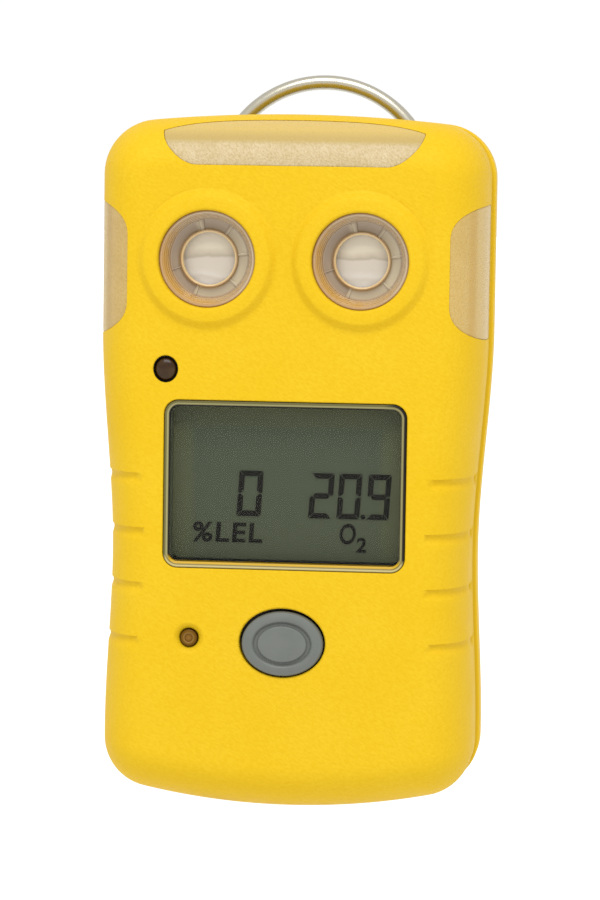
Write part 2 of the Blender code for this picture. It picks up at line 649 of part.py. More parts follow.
def vibration_motor():
    axis = (MOTOR_Y, MOTOR_Z)
    can = [(0, -5.0), (MOTOR_R, -5.0), (MOTOR_R, -15.5), (1.2, -15.5), (1.2, -16.1), (0.45, -16.1),
           (0.45, -20.0), (0, -20.0)]
    motor = turned("vibration_motor", can, 0, 0, 20, along_x=axis)
    foot_y = MAIN_BOARD_Y + BOARD_T + GAP
    join(motor, box("foot", -13.5, -7.0, foot_y, MOTOR_Y, MOTOR_Z - 2.6, MOTOR_Z + 2.6))
    finish(motor, "steel")
    weight_x0, weight_x1 = -19.9, -16.6
    arc = [(MOTOR_Y + 2.7 * cos(radians(a)), MOTOR_Z + 2.7 * sin(radians(a))) for a in range(180, 361, 20)]
    arc += [(MOTOR_Y + 1.5 * cos(radians(a)), MOTOR_Z + 1.5 * sin(radians(a))) for a in range(30, 151, 30)]
    rings = [[(x, y, z) for y, z in arc] for x in (weight_x0, weight_x1)]
    weight = loft("eccentric_weight", rings, origin=(weight_x0, MOTOR_Y, MOTOR_Z))
    bore = turned("bore", [(0, -22), (0.75, -22), (0.75, -15), (0, -15)], 0, 0, 16, along_x=axis)
    cut(weight, bore)
    finish(weight, "brass")


def battery_parts():
    tray = box("battery_tray", -22.5, 22.5, 2.4, 12.0, 15.9, 71.5)
    cut(tray, box("inside", -21.3, 21.3, 3.8, 14.0, 17.0, 70.3))
    finish(tray, "black_plastic")
    pack = prism("battery", rounded_rectangle(0, 43.65, 42.0, 52.6, 2.0, 3), 4.1, 13.6)
    finish(pack, "battery_blue")


# ---------------------------------------------------------------- fasteners


def screw(name, x, z, tip_y, seat_y, head_r, shank_r, head_h):
    """A pan-head screw driven from the back, with a slot across its head."""
    top = seat_y + head_h
    profile = [(0, tip_y), (shank_r * 0.4, tip_y), (shank_r, tip_y + 1.0), (shank_r, seat_y),
               (head_r, seat_y), (head_r, top - 0.35), (head_r - 0.4, top), (0, top)]
    made = turned(name, profile, x, z, 12)
    cut(made, box("slot", x - head_r * 0.62, x + head_r * 0.62, top - 0.5, top + 1, z - 0.25, z + 0.25))
    finish(made, "steel")


def fasteners():
    for name, (x, z) in CASE_SCREWS.items():
        screw(f"{name}_case_screw", x, z, -9.0, BACK_Y - 2.4 + GAP, 2.1, 1.1, 1.6)
    for name, (x, z) in BOARD_SCREWS.items():
        seat = MAIN_BOARD_Y + BOARD_T + GAP
        screw(f"{name}_board_screw", x, z, FRONT_Y + 3.6, seat, 1.7, 0.85, 1.2)
    for name, (x, z) in SENSOR_BOARD_SCREWS.items():
        screw(f"{name}_sensor_board_screw", x, z, 0.0, SENSOR_BOARD_Y + BOARD_T + GAP, 1.7, 0.85, 1.2)
    for name, x in (("left", -BRACKET_SCREW_X), ("right", BRACKET_SCREW_X)):
        seat = STEP_Y + GAP + BRACKET_T + GAP
        screw(f"{name}_bracket_screw", x, BRACKET_SCREW_Z, BACK_Y - 4.5, seat, 1.8, 0.9, 0.9)


# ---------------------------------------------------------------- hanging ring


def hanger_bracket():
    """A steel plate on the back whose upper edge curls round the ring's straight bar."""
    inner_r, outer_r = WIRE_R + GAP, WIRE_R + GAP + BRACKET_T
    front = BAR_Y - outer_r
    arc = [radians(a) for a in range(0, 271, 18)]
    outer = [(BAR_Y - outer_r * cos(a), BAR_Z + outer_r * sin(a)) for a in arc]
    inner = [(BAR_Y - inner_r * cos(a), BAR_Z + inner_r * sin(a)) for a in reversed(arc)]
    low = BRACKET_SCREW_Z - 4.5
    profile = [(front, low)] + outer + inner + [(front + BRACKET_T, low)]
    rings = [[(x, y, z) for y, z in profile] for x in (-BRACKET_HALF, BRACKET_HALF)]
    plate = loft("hanger_bracket", rings)
    for x in (-BRACKET_SCREW_X, BRACKET_SCREW_X):
        cut(plate, cylinder("hole", x, BRACKET_SCREW_Z, 0.9 + GAP, front - 1, front + BRACKET_T + 1, 16))
    finish(plate, "steel")


def ring_path():
    """The closed centre line of the ring in the XZ plane: a large arc, two tight corners and a straight bar."""
    corner = 2.6
    drop = RING_ARC_Z - (BAR_Z + corner)
    reach = sqrt((RING_ARC_R - corner) ** 2 - drop**2)
    turn = atan2(-drop, reach)
    points = []
    for i in range(25):
        a = turn + (pi - 2 * turn) * i / 24
        points.append((RING_X + RING_ARC_R * cos(a), RING_ARC_Z + RING_ARC_R * sin(a)))
    for side, start, end in ((-1, pi - turn, 3 * pi / 2), (1, -pi / 2, turn)):
        for i in range(6):
            if (side, i) in ((-1, 0), (1, 5)):
                continue
            a = start + (end - start) * i / 5
            points.append((RING_X + side * reach + corner * cos(a), BAR_Z + corner + corner * sin(a)))
    return points


def hanging_ring():
    path, sides = ring_path(), 10
    count = len(path)
    verts, faces = [], []
    for i, (x, z) in enumerate(path):
        ahead, behind = path[(i + 1) % count], path[i - 1]
        along = Vector((ahead[0] - behind[0], 0, ahead[1] - behind[1])).normalized()
        across = Vector((along.z, 0, -along.x))
        for k in range(sides):
            a = 2 * pi * k / sides
            point = Vector((x, BAR_Y, z)) + across * WIRE_R * cos(a) + Vector((0, WIRE_R * sin(a), 0))
            verts.append(tuple(point))
    for i in range(count):
        j = (i + 1) % count
        for k in range(sides):
            m = (k + 1) % sides
            faces.append([i * sides + k, i * sides + m, j * sides + m, j * sides + k])
    ring = make_object("hanging_ring", verts, faces, origin=(RING_X, BAR_Y, BAR_Z))
    finish(ring, "steel", 60)


def main():
    clear_scene()
    front_shell()
    rear_shell()
    shell_gasket()
    charging_contacts()
    alarm_lenses()
    sensor_parts()
    display_parts()
    mode_button()
    button_switch()
    front_lights()
    alarm_leds()
    boards()
    buzzer()
    vibration_motor()
    battery_parts()
    fasteners()
    hanger_bracket()
    hanging_ring()


main()
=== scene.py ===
"""Portable two-gas detector: the finished surfaces, materials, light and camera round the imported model.

Lengths here are millimetres unless a name says otherwise. solid() turns them into metres.
X is to the right as seen from the front, Y to the back, Z up, and the origin is the middle of the foot.
"""

from math import asin, atan2, cos, exp, pi, radians, sin, sqrt, tan

import bmesh
import bpy
from mathutils import Matrix, Vector
from mathutils.bvhtree import BVHTree


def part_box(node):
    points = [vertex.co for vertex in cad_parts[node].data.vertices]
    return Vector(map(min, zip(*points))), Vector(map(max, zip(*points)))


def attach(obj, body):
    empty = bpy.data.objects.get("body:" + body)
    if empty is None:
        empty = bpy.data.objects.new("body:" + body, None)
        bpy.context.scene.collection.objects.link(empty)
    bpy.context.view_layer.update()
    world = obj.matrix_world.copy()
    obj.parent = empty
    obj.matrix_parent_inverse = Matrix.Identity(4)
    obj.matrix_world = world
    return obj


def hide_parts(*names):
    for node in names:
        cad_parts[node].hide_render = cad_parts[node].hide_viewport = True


MM = 0.001

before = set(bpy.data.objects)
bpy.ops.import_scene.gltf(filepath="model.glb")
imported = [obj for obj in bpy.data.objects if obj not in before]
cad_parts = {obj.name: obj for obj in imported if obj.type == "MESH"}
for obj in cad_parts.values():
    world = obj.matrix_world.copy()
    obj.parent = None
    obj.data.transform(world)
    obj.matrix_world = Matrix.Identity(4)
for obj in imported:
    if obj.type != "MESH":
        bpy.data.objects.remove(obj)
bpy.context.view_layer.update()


def box_mm(node):
    low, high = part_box(node)
    return [v / MM for v in low], [v / MM for v in high]


def middle(node):
    low, high = box_mm(node)
    return [(a + b) / 2 for a, b in zip(low, high)]


# ---- sizes

SHELL_LOW, SHELL_HIGH = box_mm("front_shell")
REAR_LOW, REAR_HIGH = box_mm("rear_shell")
BEZEL_HEIGHT = 1.0
FRONT_Y = SHELL_LOW[1] + BEZEL_HEIGHT
SEAM_GAP = 0.3
REAR_LIP = REAR_LOW[1]
FRONT_LIP = REAR_LIP - SEAM_GAP
BACK_Y = REAR_HIGH[1]
HEIGHT = SHELL_HIGH[2]
HALF_TOP, HALF_WAIST, HALF_HIP = REAR_HIGH[0], 30.35, 31.4
FRONT_NARROW = 0.6  # how much narrower the front shell is, each side
HIP_Z, WAIST_Z, SHOULDER_Z = 12.25, 42.25, 79.25
TOP_ARC, BOTTOM_ARC = 245.0, 116.0
TOP_CORNER, BOTTOM_CORNER = 9.0, 8.7
FRONT_ROUND_DEPTH, FRONT_ROUND_INSET = 12.0, 8.0
BACK_ROUND_DEPTH, BACK_ROUND_INSET = 10.5, 7.5
FOOT_HALF = 8.0
WALL = 2.2
LIP_ROUND = 0.3
FACE_CENTRE_Z = 57.0
STEP_Y, STEP_Z = BACK_Y - 0.5, 82.0

PORT_XS = (middle("left_sensor_cap")[0], middle("right_sensor_cap")[0])
PORT_Z = middle("left_sensor_cap")[2]
PORT_R, BORE_R = 7.9, 9.0
BEZEL_OUT, BEZEL_TOP = 11.5, 10.0

WINDOW_LOW, WINDOW_HIGH = box_mm("display_window")
DISPLAY_Z = middle("display_window")[2]
DISPLAY_W, DISPLAY_H = WINDOW_HIGH[0] - WINDOW_LOW[0] + 0.6, WINDOW_HIGH[2] - WINDOW_LOW[2] + 0.6
DISPLAY_CORNER, WELL_CORNER = 2.4, 1.3
RIM = 1.0  # width of the frame printed and bevelled round the window
STRIP = 0.2  # how much of the shell shows under the window inside the lower rim
LCD_Y = box_mm("lcd_panel")[0][1]

BUTTON_Z = middle("mode_button")[2]
BUTTON_HOLE_RX, BUTTON_HOLE_RZ = 7.05, 5.65
BUTTON_DX, BUTTON_DZ = 0.06, -0.1  # the cap sits a little off the middle of its hole

IR_X, _, IR_Z = middle("infrared_port_lens")
LED_X, _, LED_Z = middle("status_led")
IR_R, LED_R = 1.9, 1.35
IR_TALL = 1.07  # the infrared port is a little taller than it is wide

SIDE_LENS_Z, SIDE_LENS_HALF, SIDE_LENS_STRAIGHT = 88.9, 11.05, 4.9
SIDE_LENS_FRONT = 7.0
SIDE_LENS_REAR_Y = 0.2
SIDE_LENS_POWER = 2.8
TOP_LENS_X, TOP_LENS_HALF, TOP_LENS_STRAIGHT = 0.4, 21.35, 15.4
TOP_LENS_LOW, TOP_LENS_CORNER, TOP_LENS_HIGH = 62.87, 69.7, 72.5
LENS_GAP = 0.02
LENS_T = 1.9

GROOVE_TOP_Z, GROOVE_PITCH, GROOVE_COUNT = 55.55, 8.97, 4
GROOVE_HEIGHT, GROOVE_FLOOR, GROOVE_DEPTH = 1.9, 0.75, 0.5
GROOVE_INNER_XS = (23.9, 23.1, 23.35, 23.95)

RING_LOW, RING_HIGH = box_mm("hanging_ring")
WIRE_EXTRA = 0.1  # added to the wire's CAD radius
WIRE_R = (RING_HIGH[1] - RING_LOW[1]) / 2 + WIRE_EXTRA
WIRE_SIDES = 28
RING_X = middle("hanging_ring")[0]
BAR_Y = middle("hanging_ring")[1]
BAR_Z = RING_LOW[2] + WIRE_R - WIRE_EXTRA
RING_ARC_R = (RING_HIGH[0] - RING_LOW[0]) / 2 - WIRE_R
RING_ARC_Z = RING_HIGH[2] - WIRE_R - RING_ARC_R


# ---- mesh helpers


def placed(name, data):
    """A new object in the scene that holds this data."""
    obj = bpy.data.objects.new(name, data)
    bpy.context.scene.collection.objects.link(obj)
    return obj


def between(rings, count, closed=False):
    """Faces that join rings of points, each ring to the next, and the last to the first if it is closed."""
    faces = []
    for k in range(rings if closed else rings - 1):
        m = (k + 1) % rings
        for i in range(count):
            j = (i + 1) % count
            faces.append([k * count + i, k * count + j, m * count + j, m * count + i])
    return faces


def solid(name, verts, faces):
    """A mesh object from millimetre points, with its faces turned outwards."""
    mesh = bpy.data.meshes.new(name)
    mesh.from_pydata([Vector(v) * MM for v in verts], [], faces)
    bm = bmesh.new()
    bm.from_mesh(mesh)
    bmesh.ops.remove_doubles(bm, verts=bm.verts, dist=1e-7)
    bmesh.ops.recalc_face_normals(bm, faces=bm.faces)
    bm.to_mesh(mesh)
    bm.free()
    return placed(name, mesh)


def boolean(obj, tool, operation):
    """Applies a Boolean with another object, and removes that object."""
    step = obj.modifiers.new(operation, "BOOLEAN")
    step.operation = operation
    step.solver = "EXACT"
    step.object = tool
    bpy.context.view_layer.update()
    graph = bpy.context.evaluated_depsgraph_get()
    obj.data = bpy.data.meshes.new_from_object(obj.evaluated_get(graph))
    obj.modifiers.clear()
    bpy.data.objects.remove(tool, do_unlink=True)
    return obj


def merged(name, objects):
    """One object that holds the meshes of several, as separate bodies."""
    bm = bmesh.new()
    for obj in objects:
        bm.from_mesh(obj.data)
        bpy.data.objects.remove(obj, do_unlink=True)
    mesh = bpy.data.meshes.new(name)
    bm.to_mesh(mesh)
    bm.free()
    return placed(name, mesh)


def loft(name, rings):
    """A closed solid through rings of points, with a flat cap on each end."""
    count = len(rings[0])
    verts = [point for ring in rings for point in ring]
    caps = [list(range(count)), list(range(len(verts) - count, len(verts)))]
    return solid(name, verts, caps + between(len(rings), count))


def hoop(name, rings):
    """A closed loop: rings of points joined in order, and the last to the first."""
    verts = [point for ring in rings for point in ring]
    return solid(name, verts, between(len(rings), len(rings[0]), True))


def ellipse(x, z, rx, rz, steps=96):
    return [(x + rx * cos(2 * pi * i / steps), z + rz * sin(2 * pi * i / steps)) for i in range(steps)]


def rounded_rectangle(x, z, width, height, r, steps=12):
    points = []
    for k, (sx, sz) in enumerate(((1, 1), (-1, 1), (-1, -1), (1, -1))):
        cx, cz = x + sx * (width / 2 - r), z + sz * (height / 2 - r)
        for i in range(steps + 1):
            a = (k + i / steps) * pi / 2
            points.append((cx + r * cos(a), cz + r * sin(a)))
    return points


def turned(name, profile, x, z, steps=96, tall=1.0):
    """A solid of revolution about an axis along Y. A profile that starts off the axis closes into a ring."""
    verts, rows = [], []
    for r, y in profile:
        many = 1 if r == 0 else steps
        rows.append(list(range(len(verts), len(verts) + many)))
        for i in range(many):
            a = 2 * pi * i / steps
            verts.append((x + r * cos(a), y, z + r * sin(a) * tall))
    pairs = list(zip(rows, rows[1:]))
    if profile[0][0] != 0:
        pairs.append((rows[-1], rows[0]))
    faces = []
    for a, b in pairs:
        for i in range(steps):
            j = (i + 1) % steps
            if len(a) == 1:
                faces.append([a[0], b[i], b[j]])
            elif len(b) == 1:
                faces.append([a[i], a[j], b[0]])
            else:
                faces.append([a[i], a[j], b[j], b[i]])
    return solid(name, verts, faces)


def arc(cx, cy, r, start, end, steps=8):
    """Points on a circle from one angle to another, in degrees."""
    turn = [radians(start + (end - start) * i / steps) for i in range(steps + 1)]
    return [(cx + r * cos(a), cy + r * sin(a)) for a in turn]


def dress(obj, material, body, slot, *nodes, smooth=35):
    """Gives a finished piece its material and its body, and hides the CAD nodes that it stands for; its slot
    is not used.
    """
    obj.data.materials.clear()
    obj.data.materials.append(material)
    obj.data.shade_smooth()
    obj.data.set_sharp_from_angle(angle=radians(smooth))
    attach(obj, body)
    if nodes:
        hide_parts(*nodes)
    return obj


# ---- material helpers


class Look:
    """A Principled material whose sockets are set, or fed from textures in the piece's own coordinates."""

    def __init__(self, name, colour, roughness, metallic=0.0, **sockets):
        self.material = bpy.data.materials.new(name)
        self.material.use_nodes = True
        self.tree = self.material.node_tree
        self.shader = self.tree.nodes["Principled BSDF"]
        self.place = self.tree.nodes.new("ShaderNodeTexCoord").outputs["Object"]
        self.set("Base Color", (*colour, 1.0))
        self.set("Roughness", roughness)
        self.set("Metallic", metallic)
        for socket, value in sockets.items():
            self.set(socket.replace("_", " "), value)

    def set(self, socket, value):
        self.shader.inputs[socket].default_value = value

    def feed(self, socket, output):
        self.tree.links.new(output, self.shader.inputs[socket])

    def add(self, kind, inputs=(), **settings):
        node = self.tree.nodes.new("ShaderNode" + kind)
        for key, value in settings.items():
            setattr(node, key, value)
        for key, value in dict(inputs).items():
            if isinstance(value, bpy.types.NodeSocket):
                self.tree.links.new(value, node.inputs[key])
            else:
                node.inputs[key].default_value = value
        return node

    def stretched(self, scale, turn=(0, 0, 0)):
        """The piece's coordinates, turned and then stretched, for a pattern with a direction."""
        inputs = {"Vector": self.place, "Rotation": turn, "Scale": scale}
        return self.add("Mapping", inputs, vector_type="TEXTURE").outputs[0]

    def noise(self, size, detail=3.0, rough=0.5, place=None):
        """Noise whose features are about this many millimetres across."""
        inputs = {"Vector": place or self.place, "Scale": 1000 / size, "Detail": detail, "Roughness": rough}
        return self.add("TexNoise", inputs).outputs["Fac"]

    def coordinate(self, axis):
        return self.add("SeparateXYZ", {0: self.place}).outputs[axis]

    def past(self, axis, where):
        """How far a point is past this many millimetres along an axis, in metres."""
        return self.math("SUBTRACT", self.coordinate(axis), where * MM)

    def math(self, operation, *values):
        return self.add("Math", dict(enumerate(values)), operation=operation).outputs[0]

    def length(self, a, b):
        squares = [self.math("MULTIPLY", side, side) for side in (a, b)]
        return self.math("SQRT", self.math("ADD", *squares))

    def span(self, value, low, high, to_low=0.0, to_high=1.0):
        inputs = {"Value": value, "From Min": low, "From Max": high, "To Min": to_low, "To Max": to_high}
        return self.add("MapRange", inputs).outputs["Result"]

    def ramp(self, value, stops):
        """A colour or a grey that follows a value, from (place, colour) stops."""
        node = self.add("ValToRGB", {"Fac": value})
        elements = node.color_ramp.elements
        for i, (place, colour) in enumerate(stops):
            element = elements[i] if i < 2 else elements.new(place)
            element.position = place
            element.color = (*colour, 1.0)
        return node.outputs["Color"]

    def shades(self, value, *rows):
        """A ramp from (place, red, green, blue) rows, as the display values that show on the front."""
        return self.ramp(value, [(row[0], seen(*row[1:])) for row in rows])

    def greys(self, value, *rows):
        return self.ramp(value, [(place, (grey, grey, grey)) for place, grey in rows])

    def mottle(self, size, first, second):
        """Two display colours that change over about this many millimetres."""
        return self.shades(self.noise(size, 2), (0.3, *first), (0.7, *second))

    def mix(self, share, a, b):
        node = self.add("Mix", {0: share}, data_type="RGBA")
        for key, value in ((6, a), (7, b)):
            if isinstance(value, bpy.types.NodeSocket):
                self.tree.links.new(value, node.inputs[key])
            else:
                node.inputs[key].default_value = (*value, 1.0)
        return node.outputs[2]

    def bump(self, *layers):
        """Stacks (height, strength, distance in millimetres) layers into the normal."""
        normal = None
        for height, strength, distance in layers:
            inputs = {"Height": height, "Strength": strength, "Distance": distance * MM}
            if normal:
                inputs["Normal"] = normal
            normal = self.add("Bump", inputs).outputs["Normal"]
        self.feed("Normal", normal)
        return self


def srgb(r, g, b):
    """A linear colour from 8-bit display values."""
    linear = []
    for v in (r, g, b):
        v /= 255
        linear.append(v / 12.92 if v <= 0.04045 else ((v + 0.055) / 1.055) ** 2.4)
    return tuple(linear)


LIGHT = 1.5  # how strongly this scene's light falls on a surface that faces the front


def seen(r, g, b, gloss=0.02):
    """The base colour that shows as these 8-bit display values on a surface that faces the front."""
    return tuple(max(0.002, (v - gloss) / LIGHT) for v in srgb(r, g, b))


# ---- materials


def yellow_look():
    """Soft rubbery yellow with a faint leather grain that runs diagonally."""
    look = Look("soft yellow", seen(250, 207, 54), 0.55, IOR=1.42, Specular_IOR_Level=0.12)
    grain = look.noise(0.36, 2, 0.6, look.stretched((1, 1, 2.2), (0, radians(-58), 0)))
    patches = look.mottle(14, (250, 206, 51), (252, 210, 57))
    look.feed("Base Color", look.mix(look.span(grain, 0.35, 0.65, 0.0, 0.5), patches, seen(240, 194, 40)))
    look.feed("Roughness", look.span(look.noise(6, 3), 0.3, 0.7, 0.5, 0.6))
    look.bump((grain, 0.7, 0.1), (look.noise(2.2, 3, 0.6), 0.3, 0.08))
    return look.material


def rear_yellow_look():
    look = Look("rear yellow", seen(248, 205, 54), 0.55, IOR=1.42, Specular_IOR_Level=0.12)
    look.feed("Base Color", look.mottle(16, (247, 204, 52), (251, 209, 60)))
    look.feed("Roughness", look.span(look.noise(6, 3), 0.3, 0.7, 0.5, 0.6))
    look.bump((look.noise(0.42, 3, 0.6), 0.6, 0.08))
    return look.material


# ---- body surface


def blend(t):
    t = min(1.0, max(0.0, t))
    return t * t * (3 - 2 * t)


class Shape:
    """The body's outline for one shell. Both share the curves, and narrow moves a shell's sides inwards."""

    def __init__(self, narrow):
        self.narrow = narrow
        self.low_x = HALF_HIP - narrow - BOTTOM_CORNER
        self.low_z = LOW_CENTRE_Z - sqrt((BOTTOM_ARC - BOTTOM_CORNER) ** 2 - self.low_x**2)
        self.high_x = HALF_TOP - narrow - TOP_CORNER
        self.high_z = HIGH_CENTRE_Z + sqrt((TOP_ARC - TOP_CORNER) ** 2 - self.high_x**2)
        self.low_turn = asin(self.low_x / (BOTTOM_ARC - BOTTOM_CORNER))
        self.high_turn = asin(self.high_x / (TOP_ARC - TOP_CORNER))

    def half_width(self, z):
        if z > WAIST_Z:
            wide = HALF_WAIST + (HALF_TOP - HALF_WAIST) * blend((z - WAIST_Z) / (SHOULDER_Z - WAIST_Z))
        else:
            wide = HALF_HIP - (HALF_HIP - HALF_WAIST) * blend((z - HIP_Z) / (WAIST_Z - HIP_Z))
        return wide - self.narrow


FOOT_RISE = BOTTOM_ARC - sqrt(BOTTOM_ARC**2 - FOOT_HALF**2)
LOW_CENTRE_Z = BOTTOM_ARC - FOOT_RISE
HIGH_CENTRE_Z = HEIGHT - TOP_ARC
FRONT_SHAPE, REAR_SHAPE = Shape(FRONT_NARROW), Shape(0.0)


def side_rows(shape, step):
    """The heights of the outline's points up the side, with extra ones where the grooves need them."""
    rise = shape.high_z - shape.low_z
    count = round(rise / step)
    rows = [shape.low_z + rise * i / count for i in range(count + 1)]
    if step > 1.5:
        return rows[1:-1]
    for k in range(GROOVE_COUNT):
        top = GROOVE_TOP_Z - k * GROOVE_PITCH
        extra = [top + 0.12, top + 0.03, top - 0.05, top - 0.16]
        extra += [top - 0.16 - (GROOVE_HEIGHT - 0.16) * f for f in (0.2, 0.4, 0.6, 0.8, 1.0)]
        rows = [z for z in rows if not top - GROOVE_HEIGHT - 0.25 < z < top + 0.4] + extra
    return sorted(rows)[1:-1]


def outline(shape, inset, step=1.0):
    """The body's outline moved inwards, as (x, z, normal x, normal z) from the middle of the foot."""
    right = []
    for i in range(round(shape.low_x / step) + 1):
        a = shape.low_turn * i / round(shape.low_x / step)
        z = LOW_CENTRE_Z - (BOTTOM_ARC - inset) * cos(a)
        right.append(((BOTTOM_ARC - inset) * sin(a), max(0.0, z), sin(a), -cos(a)))
    corner_steps = round(14 / step)
    for i in range(1, corner_steps + 1):
        a = -pi / 2 + shape.low_turn + (pi / 2 - shape.low_turn) * i / corner_steps
        r = BOTTOM_CORNER - inset
        right.append((shape.low_x + r * cos(a), shape.low_z + r * sin(a), cos(a), sin(a)))
    right += [(shape.half_width(z) - inset, z, 1.0, 0.0) for z in side_rows(shape, step)]
    for i in range(corner_steps + 1):
        a = (pi / 2 - shape.high_turn) * i / corner_steps
        r = TOP_CORNER - inset
        right.append((shape.high_x + r * cos(a), shape.high_z + r * sin(a), cos(a), sin(a)))
    top_steps = round(shape.high_x / step)
    for i in range(top_steps - 1, -1, -1):
        a = shape.high_turn * i / top_steps
        r = TOP_ARC - inset
        right.append((r * sin(a), HIGH_CENTRE_Z + r * cos(a), sin(a), cos(a)))
    left = [(-x, z, -nx, nz) for x, z, nx, nz in right[-2:0:-1]]
    return right + left


def groove_depth(z, y, x):
    """How far the grip grooves press the surface in: a sharp upper edge, a floor, and a slope out."""
    for k in range(GROOVE_COUNT):
        below = GROOVE_TOP_Z - k * GROOVE_PITCH - z
        if -0.05 <= below <= GROOVE_HEIGHT:
            slope = 0.75 * blend((below + 0.04) / 0.12) + 0.25 * min(1.0, max(0.0, below / GROOVE_FLOOR))
            out = 1 - blend((below - GROOVE_FLOOR) / (GROOVE_HEIGHT - GROOVE_FLOOR)) * 0.999
            reach = blend((abs(x) + 0.3 * below - GROOVE_INNER_XS[k]) / 0.5)
            notch = blend((y + 4.2) / 0.8) * (1 - blend((y + 0.6) / 0.5))
            deeper = 1 - 0.5 * blend((y + 10) / 3) + 2.1 * notch
            end = 1 - blend((y - FRONT_LIP + 1.3) / 0.6)
            return GROOVE_DEPTH * slope * out * reach * deeper * end
    return 0.0


def ring_at(shape, y, inset, offset, push, step=1.0):
    """One ring of the body at depth y. push is the normal's share in the outline plane and along Y."""
    ring = []
    for x, z, nx, nz in outline(shape, inset + offset, step):
        d = groove_depth(z, y, x) if push else 0.0
        if d:
            ring.append((x - nx * d * push[0], y - push[1] * d, z - nz * d * push[0]))
        else:
            ring.append((x, y, z))
    return ring


def rounding(shape, face_y, inward, depth, inset, steps, offset=0.0, grooved=True):
    """Rings from the edge of the flat face, over the rounded shoulder, to the straight side."""
    rings = []
    for i in range(steps + 1):
        a = pi / 2 * i / steps
        y = face_y + inward * (depth - offset) * (1 - cos(a))
        normal = Vector((sin(a) / inset, -inward * cos(a) / depth)).normalized()
        inwards = (inset - offset) * (1 - sin(a))
        rings.append(ring_at(shape, y, inwards, offset, normal if grooved else None))
    return rings


def face_rings(edge, count, lift=None):
    """Rings that shrink from the flat face's edge to a point in its middle."""
    rings = []
    for k in range(1, count):
        t = 1 - k / count
        ring = []
        for x, y, z in edge:
            px, pz = x * t, FACE_CENTRE_Z + (z - FACE_CENTRE_Z) * t
            ring.append((px, y + (lift(px, pz) if lift else 0.0), pz))
        rings.append(ring)
    return rings


def skin(name, rings, start, end=None):
    """A closed mesh through rings, with a point on the start end and a point or a flat cap on the other."""
    count = len(rings[0])
    verts = [point for ring in rings for point in ring]
    faces = between(len(rings), count)
    verts.append(start)
    tip = len(verts) - 1
    faces += [[tip, (i + 1) % count, i] for i in range(count)]
    last = (len(rings) - 1) * count
    if end:
        verts.append(end)
        faces += [[tip + 1, last + i, last + (i + 1) % count] for i in range(count)]
    else:
        faces.append([last + i for i in range(count)])
    return solid(name, verts, faces)


def front_relief(x, z):
    """The soft dip in the face between the top lens and the bezels, in millimetres towards the back."""
    dip = 0.0
    for side in (-1, 1):
        dip += 0.16 * exp(-(((x - side * 21.5) / 5.5) ** 2) - ((z - 100.5) / 4.5) ** 2)
    dip += 0.10 * exp(-((x / 3.6) ** 2) - ((z - 101.5) / 3.5) ** 2)
    return dip


def straight(shape, y0, y1, steps):
    """Rings down the straight side, from just after y0 up to y1."""
    return [ring_at(shape, y0 + (y1 - y0) * i / steps, 0.0, 0.0, (1.0, 0.0)) for i in range(1, steps + 1)]


def lip(shape, y_edge, inward):
    """The rounded outer edge at the seam, then the flat of the lip, as rings."""
    rings = []
    for a in (30, 60, 90):
        turn = radians(a)
        y = y_edge - inward * LIP_ROUND * (1 - sin(turn))
        rings.append(ring_at(shape, y, LIP_ROUND * (1 - cos(turn)), 0.0, None))
    rings.append(ring_at(shape, y_edge, WALL, 0.0, None))
    return rings


def shell_rings(shape, face_y, y_edge, inward, depth, inset, lift):
    """All the rings of one shell: face, shoulder, side, lip, and back along the inside."""
    outer = rounding(shape, face_y, inward, depth, inset, 22)
    face = face_rings(outer[0], 52, lift)
    side_start = face_y + inward * depth
    side = straight(shape, side_start, y_edge - inward * LIP_ROUND, 14)
    inner = rounding(shape, face_y + inward * WALL, inward, depth, inset, 6, offset=WALL, grooved=False)
    return face[::-1] + outer + side + lip(shape, y_edge, inward) + inner[::-1]


# ---- lens outlines


def side_lens_half(grow):
    """The upper half of the side lens outline in its own plane, from the rear edge round to the front."""
    rear = (HALF_TOP - FRONT_NARROW + SIDE_LENS_REAR_Y + grow) / sqrt(2)
    reach = rear - SIDE_LENS_FRONT + grow
    rise = SIDE_LENS_HALF - SIDE_LENS_STRAIGHT + grow
    points = []
    for i in range(29):
        a = pi / 2 * i / 28
        points.append((rear - reach * sin(a) ** (2 / SIDE_LENS_POWER),
                       SIDE_LENS_STRAIGHT + rise * max(0.0, cos(a)) ** (2 / SIDE_LENS_POWER)))
    return points


def side_lens_outline(grow):
    top = side_lens_half(grow)
    flank = [(top[-1][0], SIDE_LENS_STRAIGHT * (1 - i / 6)) for i in range(1, 7)]
    upper = top + flank
    lower = [(u, -v) for u, v in reversed(upper[:-1])]
    rear_u = upper[0][0]
    high = upper[0][1]
    back = [(rear_u, -high + 2 * high * i / 24) for i in range(1, 24)]
    return upper + lower + back


def top_lens_outline(grow):
    right = []
    corner_x, corner_v = TOP_LENS_HALF, TOP_LENS_CORNER
    for i in range(8):
        right.append((TOP_LENS_STRAIGHT * i / 8, TOP_LENS_LOW - grow))
    for i in range(25):
        a = pi / 2 * i / 24
        right.append((TOP_LENS_STRAIGHT + (corner_x - TOP_LENS_STRAIGHT + grow) * sin(a),
                      corner_v - (corner_v - TOP_LENS_LOW + grow) * cos(a)))
    for i in range(1, 31):
        f = cos(pi / 2 * i / 30)
        right.append(((corner_x + grow) * f, corner_v + (TOP_LENS_HIGH - corner_v + grow) * (1 - f**4)))
    left = [(-x, v) for x, v in right[-2:0:-1]]
    return right + left


def side_lens_point(side, u, v, out):
    return (side * (u + out) / sqrt(2), (u - out) / sqrt(2), SIDE_LENS_Z + v)


def top_lens_point(x, v, out):
    return (x + TOP_LENS_X, (v - out) / sqrt(2), (v + out) / sqrt(2))


# ---- shells


